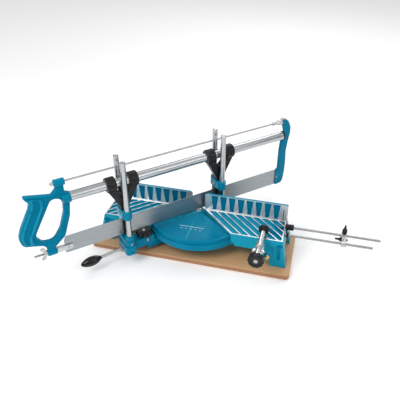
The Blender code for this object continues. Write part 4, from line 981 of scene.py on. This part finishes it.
def make_lever():
    """The index lever and its fluted grip."""
    s, _, z = arm_middle("lever_pin")
    route = [(s - 98, 0, z - 8), (s - 14, 0, z - 1), (s - 7, 0, z - 0.3), (s, 0, z), (s + 66, 0, z)]
    lever = wire(route, 3.4, 8)
    join(lever, rod(5.2, 8.4, (s, -4.2, z), "Y", 48, 0.6),
        box((s + 59, -3.9, z - 3.2), (s + 69, 3.9, z + 6.9), 0.8))
    arm_piece(cut(lever, hole(PIN_HOLE, 40, (s, -20, z), "Y")), "index_lever")
    length = 48
    profile = [(0.0, length)]
    for step in range(1, 24):
        along = step / 24
        profile.append((11.5 * math.sin(math.pi * along) ** 0.55 * (0.9 + 0.1 * along),
            length * (1 - along)))
    profile += [(4.6, 0, 0.4), (3.7, 0), (3.7, 36), (0, 36)]
    grip = lathe(profile)
    flutes = []
    for number in range(10):
        angle = 2 * math.pi * number / 10
        flutes.append(wire([(12.4 * math.cos(angle), 12.4 * math.sin(angle), h) for h in (8, 40)], 1.7, 3))
    cut(grip, *flutes)
    droop = math.atan2(7, 84)
    moved(grip, (s - 64, 0, z - 5.2), (0, math.radians(-90) - droop, 0))
    arm_piece(grip, "lever_knob", extra=("gloss_black",), paint=lambda face: 1)


# ---------------------------------------------------------------- guide carriages

def make_guide(name):
    """A carriage: the saddle on its two posts and the black V guide that holds the tube."""
    s = arm_middle(f"{name}_saddle").x
    low, high = arm_limits(f"{name}_saddle")
    saddle = box((s - 11, -POST_SIDE, low.z + 0.5), (s + 11, POST_SIDE, high.z - 0.5), 1.6)
    for side in (-1, 1):
        boss = [(0, high.z), (8.6, high.z, 1.2), (8.6, low.z, 1.2), (0, low.z)]
        join(saddle, lathe(boss, (s, side * POST_SIDE, 0)))
    for side in (-1, 1):
        socket = [(0, high.z + 5), (POST_HOLE, high.z + 5), (POST_HOLE, low.z - 5), (0, low.z - 5)]
        cut(saddle, lathe(socket, (s, side * POST_SIDE, 0)))
    cut(saddle, box((s - 7.3, -4.8, low.z - 5), (s + 7.3, 4.8, high.z + 5), 0),
        hole(GUIDE_SCREW_HOLE, 20, (s - 25, 0, 131.5), "X"))
    arm_piece(saddle, f"{name}_saddle")

    tube = arm_middle("main_tube")
    guide_low, guide_high = arm_limits(f"{name}_v_guide")
    rest = high.z
    outer = guide_high.x - s - 0.5
    inner = 14.5
    right = [(s + x, z, radius) for x, z, radius in ((9, rest + 0.3, 1.5), (10, rest + 9, 7),
        (outer, 196, 3), (outer, 202, 0), (inner, 202, 0), (inner - 2.5, 189, 4))]
    left = [(2 * s - x, z, radius) for x, z, radius in reversed(right)]
    vee = rounded([*right, (s, 174, 5), *left], 8)
    guide = plate([vee], 18, turn=UPRIGHT, edge=1.4, edge_steps=3)
    join(guide, box((s - 7, -4.5, guide_low.z), (s + 7, 4.5, rest + 6), 0.8))
    width = outer + 0.5 - inner
    ring = [(0, width), (14.8, width, 0.8), (RING_RADIUS, width - 1.4, 1), (RING_RADIUS, 1.4, 1),
        (14.8, 0, 0.8), (0, 0)]
    for start in (s - outer - 0.5, s + inner):
        join(guide, lathe(ring, (start, 0, tube.z), "X", sides=56))
        join(guide, lathe([(0, 3), (3.4, 3, 0.6), (3.4, 0), (0, 0)], (start + width / 2, -14.2, tube.z),
            "-Y", 24))
    cut(guide, hole(TUBE_HOLE, 100, (s - 50, 0, tube.z), "X", 56),
        box((s - 20, -0.9, 70), (s + 20, 0.9, 117), 0), hole(GUIDE_SCREW_HOLE, 10, (s - 8, 0, 131.5), "X"))
    arm_piece(guide, f"{name}_v_guide")
    screw(f"{name}_guide_screw", (s - 11.3, 0, 131.5), "-X", 4, 2.4, 2.1, 8.8, turn=ARM_TURN)


# ---------------------------------------------------------------- saw frame

def make_handle():
    """A thin casting round the finger hole, with a thicker grip that is recessed on both faces."""
    tube, rod_line = arm_middle("main_tube"), arm_middle("tension_rod")
    screw_line = arm_middle("tension_screw")
    outline = rounded([(-387, 235.5, 3), (-375, 217, 5), (-379, 204, 10), (-401, 164, 30),
        (-408.5, 144, 28), (-403.5, 122.5, 14), (-386, 118, 12), (-366, 111.5, 5), (-360.5, 106, 4),
        (-359.5, 98, 4), (-341, 98, 4), (-340.5, 101, 6), (-318, 120, 26), (-302, 166, 40),
        (-297.5, 196, 8), (-297.5, 219.5, 4), (-304.5, 221.5, 4), (-305, 234, 4), (-320, 234, 4),
        (-331, 222.5, 5)], 10)
    opening = rounded([(-333, 214.5, 12), (-311, 208, 14), (-313.5, 176, 40), (-326, 141, 40),
        (-343, 117.5, 16), (-364, 120.5, 12), (-376.5, 139, 14)], 12)
    handle = plate([outline, opening], 11, turn=UPRIGHT, edge=2.4, edge_steps=4)
    grip = rounded([(-382, 229, 4), (-374, 217, 6), (-377, 204, 10), (-399, 164, 30), (-406.5, 144, 28),
        (-401.5, 124.5, 12), (-386, 120.5, 10), (-380, 121, 6), (-383, 139, 14), (-349, 203, 8),
        (-349, 221, 6)], 10)
    panel = rounded([(-370, 224, 3), (-368, 216, 5), (-371.5, 204, 10), (-393, 164, 30), (-400, 145, 22),
        (-397, 128.5, 10), (-388, 125.5, 8), (-389, 139, 14), (-355.5, 203, 8), (-355, 222, 4)], 10)
    join(handle, plate([grip], 16, turn=UPRIGHT, edge=2, edge_steps=4),
        box((-319.5, -5, 220), (-304.5, 5, 244), 2), box((-359, -5.4, 90), (-341.5, 5.4, 114), 2))
    for side in (-1, 1):
        cut(handle, plate([panel], 4, at=(0, side * 8.4, 0), turn=UPRIGHT, edge=1.4, edge_steps=3))
    join(handle, rod(11.6, 18, (-312.5, 0, tube.z), "X", 56, 1.2),
        rod(7.5, 22, (-323, 0, rod_line.z), "X", 48, 1.2), rod(7.5, 19.5, (-360, 0, screw_line.z), "X", 48,
        1))
    cut(handle, hole(TUBE_HOLE, 40, (-311.3, 0, tube.z), "X", 56),
        hole(PIN_HOLE, 60, (-340, 0, rod_line.z), "X"), hole(TENSION_HOLE, 60, (-380, 0, screw_line.z),
        "X"))
    arm_piece(handle, "handle")


def make_bracket():
    """The far bracket, with a round seat for the tube's end ring and a slot for the blade."""
    tube, rod_line = arm_middle("main_tube"), arm_middle("tension_rod")
    pin = arm_middle("blade_pin_far")
    outline = rounded([(227, 252.5, 2.2), (237.3, 249.5, 8), (248, 240, 12), (254.3, 226, 14),
        (254.8, 212, 20), (250.5, 190, 30), (247, 165, 30), (249, 130, 30), (248.5, 104, 30),
        (245.5, 80, 10), (240, 72.5, 6), (221.5, 71.5, 2), (221.5, 115.3, 2), (227.3, 116.5, 1.5),
        (227.3, 170, 20), (229.5, 192, 8), (235.5, 201, 6), (235.5, 217, 8), (231, 232, 6),
        (227, 240, 2.2)], 10)
    bracket = plate([outline], 7, turn=UPRIGHT, edge=1.4, edge_steps=4)
    cut(bracket, hole(10.9, 15, (220.5, 0, tube.z), "X", 64))
    join(bracket, rod(8.2, 18, (220.5, 0, tube.z), "X", 64, 0.5))
    cut(bracket, hole(PIN_HOLE, 30, (210, 0, rod_line.z), "X"),
        box((200, -0.8, 60), (227.5, 0.8, 116.2), 0), hole(PIN_HOLE, 40, (pin.x, -20, pin.z), "Y"))
    arm_piece(bracket, "far_bracket")


def make_tube():
    for node, radius, rim in (("main_tube", 10, 0.5), ("tube_end_ring", 10.6, 0.6)):
        low, high = arm_limits(node)
        length = high.x - low.x
        profile = [(8.5, 0, 0.3), (radius, 0, rim), (radius, length, rim), (8.5, length, 0.3)]
        arm_piece(lathe(profile, (low.x, 0, arm_middle("main_tube").z), "X", 64, closed=True), node)


def make_tension_rod():
    low, high = arm_limits("tension_rod")
    z = arm_middle("tension_rod").z
    arm_piece(rod(2, high.x - low.x, (low.x, 0, z), "X", 24, 0.5), "tension_rod")
    high = arm_limits("tension_rod_nut")[1]
    nut = lathe([(2.3, 5, 0.2), (2.7, 5, 0.4), (3.4, 4, 0.4), (3.4, 0, 0.3), (2.3, 0, 0.2)], (high.x, 0, z),
        "-X", closed=True)
    arm_piece(nut, "tension_rod_nut")
    high = arm_limits("tension_rod_sleeve")[1]
    sleeve = lathe([(2.3, 0), (6, 0, 0.6), (6.5, -3, 1), (6, -10, 2), (4.2, -17, 3), (4.2, -22, 0.4),
        (3.9, -22.6, 0.3), (4.2, -23.2, 0.4), (4.2, -26, 0.4), (3.4, -27, 0.3), (2.3, -27)], (high.x, 0, z),
        "X", 40, closed=True)
    arm_piece(sleeve, "tension_rod_sleeve")
    strap_line = rounded([(high.x - 3, 249.4), (high.x + 2, 253.6, 4), (237.8, 250.7, 9), (247, 242.6, 3),
        (246.2, 241.9), (237, 249.3, 8), (high.x + 2, 252.4, 3), (high.x - 2.2, 248.2)], 8)
    strap = plate([strap_line], 8.6, turn=UPRIGHT, edge=0.3)
    arm_piece(strap, "tension_rod_sleeve", name="tension_hook")


def make_blade():
    """The blade, with triangular teeth along its lower edge and its two pins."""
    low, high = arm_limits("blade")
    pitch, depth = 1.8, 1.3
    teeth = []
    count = int((high.x - low.x - 8) / pitch)
    for number in range(count):
        s = low.x + 4 + number * pitch
        teeth += [(s, low.z + depth), (s + 0.35 * pitch, low.z)]
    outline = [(low.x, low.z + depth)] + teeth + [(high.x, low.z + depth), (high.x, high.z),
        (low.x + 4, high.z), (low.x, high.z - 10)]
    blade = plate([outline], 1.0, turn=UPRIGHT, edge=0)
    near, far = arm_middle("blade_pin_near"), arm_middle("blade_pin_far")
    cut(blade, *[hole(PIN_HOLE, 20, (pin.x, -10, pin.z), "Y") for pin in (far, near)])
    arm_piece(blade, "blade")
    for node, pin in (("blade_pin_near", near), ("blade_pin_far", far)):
        low, high = arm_limits(node)
        arm_piece(rod(2, high.y - low.y, (pin.x, low.y, pin.z), "Y", 24, 0.5), node)


def make_tensioner():
    low, high = arm_limits("blade_clevis")
    z = arm_middle("tension_screw").z
    blade_start = arm_limits("blade")[0].x
    outline = rounded([(low.x, low.z, 1.2), (high.x - 2.5, low.z, 3), (high.x, low.z + 3.5, 2),
        (high.x, high.z - 1, 3), (low.x, high.z, 1.2)], 6)
    clevis = plate([outline], 8, turn=UPRIGHT, edge=1, edge_steps=3)
    near = arm_middle("blade_pin_near")
    cut(clevis, box((blade_start - 0.6, -0.8, 70), (-300, 0.8, 110), 0),
        hole(2.3, 30, (near.x, -15, near.z), "Y"), hole(2.8, 14, (-345, 0, z), "X"))
    arm_piece(clevis, "blade_clevis")
    low, high = arm_limits("tension_screw")
    length = high.x - low.x
    screw_body = lathe([(0, length), (2.1, length, 0.4)] + thread(2.5, 3, length - 1, 0.9)
        + [(2.5, 2.5), (2.5, 0, 0.5), (0, 0)], (low.x, 0, z), "X", 32)
    arm_piece(screw_body, "tension_screw")
    wing = wing_nut(6, 7, 16, 2.8, (arm_limits("tension_wing_nut")[1].x, 0, z), (0, math.radians(-90), 0))
    arm_piece(wing, "tension_wing_nut")


# ---------------------------------------------------------------- stage

def make_stage():
    """A pale floor, soft studio light and the camera."""
    floor_finish = Finish("studio_floor", (0.95, 0.95, 0.95), 0.6, Emission_Color=(1, 1, 1, 1),
        Emission_Strength=0.1)
    floor_finish.gloss(floor_finish.noise(8), 0.55, 0.65)
    mesh = bpy.data.meshes.new("floor")
    corners = [(x * FLOOR_REACH, y * FLOOR_REACH, 0) for x, y in ((-1, -1), (1, -1), (1, 1), (-1, 1))]
    mesh.from_pydata(corners, [], [(0, 1, 2, 3)])
    mesh.materials.append(floor_finish.material)
    floor = bpy.data.objects.new("floor", mesh)
    floor.location.z = -0.0005
    bpy.context.scene.collection.objects.link(floor)

    world = bpy.data.worlds.new("studio")
    world.use_nodes = True
    tree = world.node_tree
    place = tree.nodes.new("ShaderNodeTexCoord")
    split = tree.nodes.new("ShaderNodeSeparateXYZ")
    sky = tree.nodes.new("ShaderNodeValToRGB")
    tree.links.new(place.outputs["Generated"], split.inputs["Vector"])
    tree.links.new(split.outputs["Z"], sky.inputs["Fac"])
    tree.links.new(sky.outputs["Color"], tree.nodes["Background"].inputs["Color"])
    sky.color_ramp.elements.new(0.25)
    heights = (0, 0.25, 0.75)
    colours = ((0.1, 0.1, 0.11, 1), (0.35, 0.36, 0.37, 1), (1, 1, 1, 1))
    for stop, height, colour in zip(sky.color_ramp.elements, heights, colours):
        stop.position = height
        stop.color = colour
    tree.nodes["Background"].inputs["Strength"].default_value = SKY_STRENGTH
    bpy.context.scene.world = world

    for name, place, size, power in (("key", (-0.9, -1.3, 1.7), 1.0, 22),
            ("fill", (1.6, -0.8, 1.1), 1.2, 6), ("back", (0.2, 1.6, 1.5), 1.4, 10)):
        light = bpy.data.lights.new(name, "AREA")
        light.size = size
        light.energy = power
        lamp = bpy.data.objects.new(name, light)
        lamp.location = place
        lamp.rotation_euler = (Vector((0, 0, 0.1)) - Vector(place)).to_track_quat("-Z", "Y").to_euler()
        bpy.context.scene.collection.objects.link(lamp)

    azimuth, elevation = math.radians(14.79), math.radians(34.01)
    forward = Vector((-math.sin(azimuth) * math.cos(elevation), math.cos(azimuth) * math.cos(elevation),
        -math.sin(elevation)))
    data = bpy.data.cameras.new("camera")
    data.sensor_width = 36
    data.lens = 44.6
    camera = bpy.data.objects.new("camera", data)
    camera.location = (0.2485, -0.9323, 0.7484)
    camera.rotation_euler = forward.to_track_quat("-Z", "Y").to_euler()
    bpy.context.scene.collection.objects.link(camera)
    bpy.context.scene.camera = camera
    bpy.context.scene.view_settings.view_transform = "Standard"


make_stage()
make_board()
make_bed()
make_fan_marks()
make_pivot()
make_clamp()
make_stop()
make_arm()
make_posts()
make_arm_fittings()
make_lever()
make_guide("front")
make_guide("rear")
make_handle()
make_bracket()
make_tube()
make_tension_rod()
make_blade()
make_tensioner()
